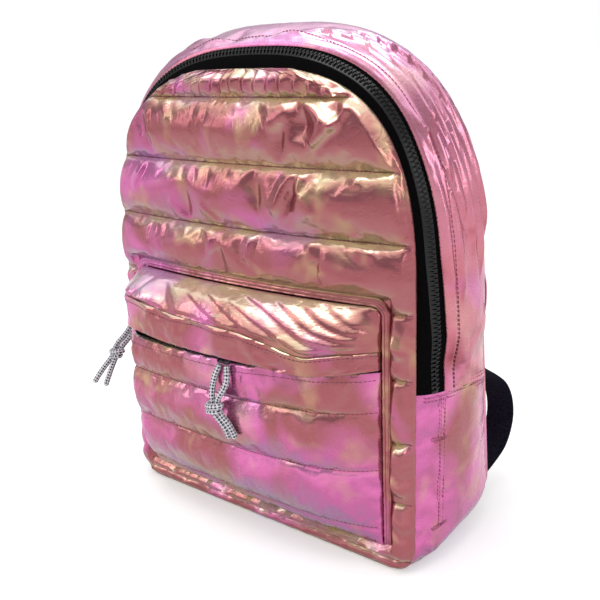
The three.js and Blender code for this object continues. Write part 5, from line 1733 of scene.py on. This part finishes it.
def make_side_stitches():
    """The double topstitch down each lower side, with its bar tacks, and the rows beside the side seam."""
    parts = []
    height = LOWER["a"][:, 1]
    for side in (-1, 1):
        chosen = (LOWER["side"] == side) & (height > TOPSTITCH_LOW) & (height < TOPSTITCH_HIGH)
        for offset in TOPSTITCH_PLACES:
            parts.extend(stitch_row(skin_line(LOWER, chosen, np.full(len(height), offset), 0.0012)))
        for level in TACK_HEIGHTS:
            row = int(np.argmin(np.abs(height - level) + (LOWER["side"] != side)))
            across = np.linspace(TACK_FROM, TACK_TO, 9)
            for up in (-TACK_SPREAD, TACK_SPREAD):
                line = skin(station(LOWER, row), across[None, :], 0.0014)[0] + np.array([0, 0, up])
                parts.extend(stitch_row(line, 0.0018, 0.0003, 0.00035))
    for path in (LOWER, UPPER):
        heights = path["a"][:, 1]
        for side in (-1, 1):
            row = int(np.argmin(np.abs(heights - SIDE_SEAM_FRONT) + 10 * (path["side"] != side)))
            for offset in (1, 2):
                index = row + (offset if (side > 0) == (path is UPPER) else -offset)
                index = int(np.clip(index, 0, len(heights) - 1))
                start = 0.004 if path is LOWER else float(band_width(UPPER)[index]) + 0.004
                across = np.linspace(start, float(path["depth"][index]) - 0.004, 60)
                lift = 0.0012 + 0.0008 * (path is UPPER)
                parts.extend(stitch_row(skin(station(path, index), across[None, :], lift)[0]))
    points, faces = join(parts)
    piece_from("side_stitches", points, faces, THREAD)


make_stitches(MOVED)
make_side_stitches()


# The moulded and metal pieces keep their solids and get rounded edges and a finish

def finish_hard_pieces():
    finishes = {
        "main_slider": BLACK_METAL, "pocket_slider": BLACK_METAL,
        "strap_buckle_right": BLACK_PLASTIC, "strap_buckle_left": BLACK_PLASTIC,
    }
    for node, material in finishes.items():
        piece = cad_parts[node]
        piece.data.materials.clear()
        piece.data.materials.append(material)
        bevel = piece.modifiers.new("rounded", "BEVEL")
        bevel.width = 0.0005
        bevel.segments = 2
        bevel.limit_method = "ANGLE"


finish_hard_pieces()


# Studio: pale floor and backdrop, soft lights

FLOOR_SIZE = 30.0
LIGHT_TARGET = (0, 0, 0.2)


def make_floor():
    mesh = bpy.data.meshes.new("floor")
    half = FLOOR_SIZE / 2
    corners = [(-half, -half, 0), (half, -half, 0), (half, half, 0), (-half, half, 0)]
    mesh.from_pydata(corners, [], [(0, 1, 2, 3)])
    floor = bpy.data.objects.new("floor", mesh)
    bpy.context.scene.collection.objects.link(floor)
    material, _, shader = new_material("floor")
    socket(shader, "Base Color", (0.9, 0.9, 0.9, 1))
    socket(shader, "Emission Color", (1, 1, 1, 1))
    socket(shader, "Emission Strength", 0.35)
    socket(shader, "Roughness", 0.7)
    mesh.materials.append(material)


def make_light(name, place, size, power):
    data = bpy.data.lights.new(name, "AREA")
    data.shape = "RECTANGLE"
    data.size, data.size_y = size
    data.energy = power
    light = bpy.data.objects.new(name, data)
    light.location = place
    light.rotation_mode = "QUATERNION"
    light.rotation_quaternion = (Vector(LIGHT_TARGET) - Vector(place)).to_track_quat("-Z", "Y")
    bpy.context.scene.collection.objects.link(light)


def make_world():
    """A white horizon, a dimmer band above it and a bright top, as in a light tent."""
    world = bpy.data.worlds.new("studio")
    bpy.context.scene.world = world
    world.use_nodes = True
    tree = world.node_tree
    background = tree.nodes["Background"]
    place = tree.nodes.new("ShaderNodeTexCoord").outputs["Generated"]
    split = tree.nodes.new("ShaderNodeSeparateXYZ")
    tree.links.new(place, split.inputs["Vector"])
    bands = [
        (0.0, (1, 1, 1)), (0.14, (1, 1, 1)), (0.24, (0.62, 0.62, 0.64)), (0.5, (0.55, 0.55, 0.58)),
        (0.7, (1, 1, 1)), (1.0, (1, 1, 1)),
    ]
    tree.links.new(ramp(tree, split.outputs["Z"], bands), background.inputs["Color"])
    background.inputs["Strength"].default_value = 1.0


make_floor()
make_world()
make_light("overhead", place=(-0.1, -0.3, 1.8), size=(1.2, 0.7), power=9)
make_light("front_left", place=(-1.5, -1.5, 1.3), size=(0.5, 1.2), power=4.5)
make_light("right", place=(1.9, -0.5, 1.0), size=(0.4, 1.0), power=4.5)
bpy.context.scene.view_settings.view_transform = "Standard"
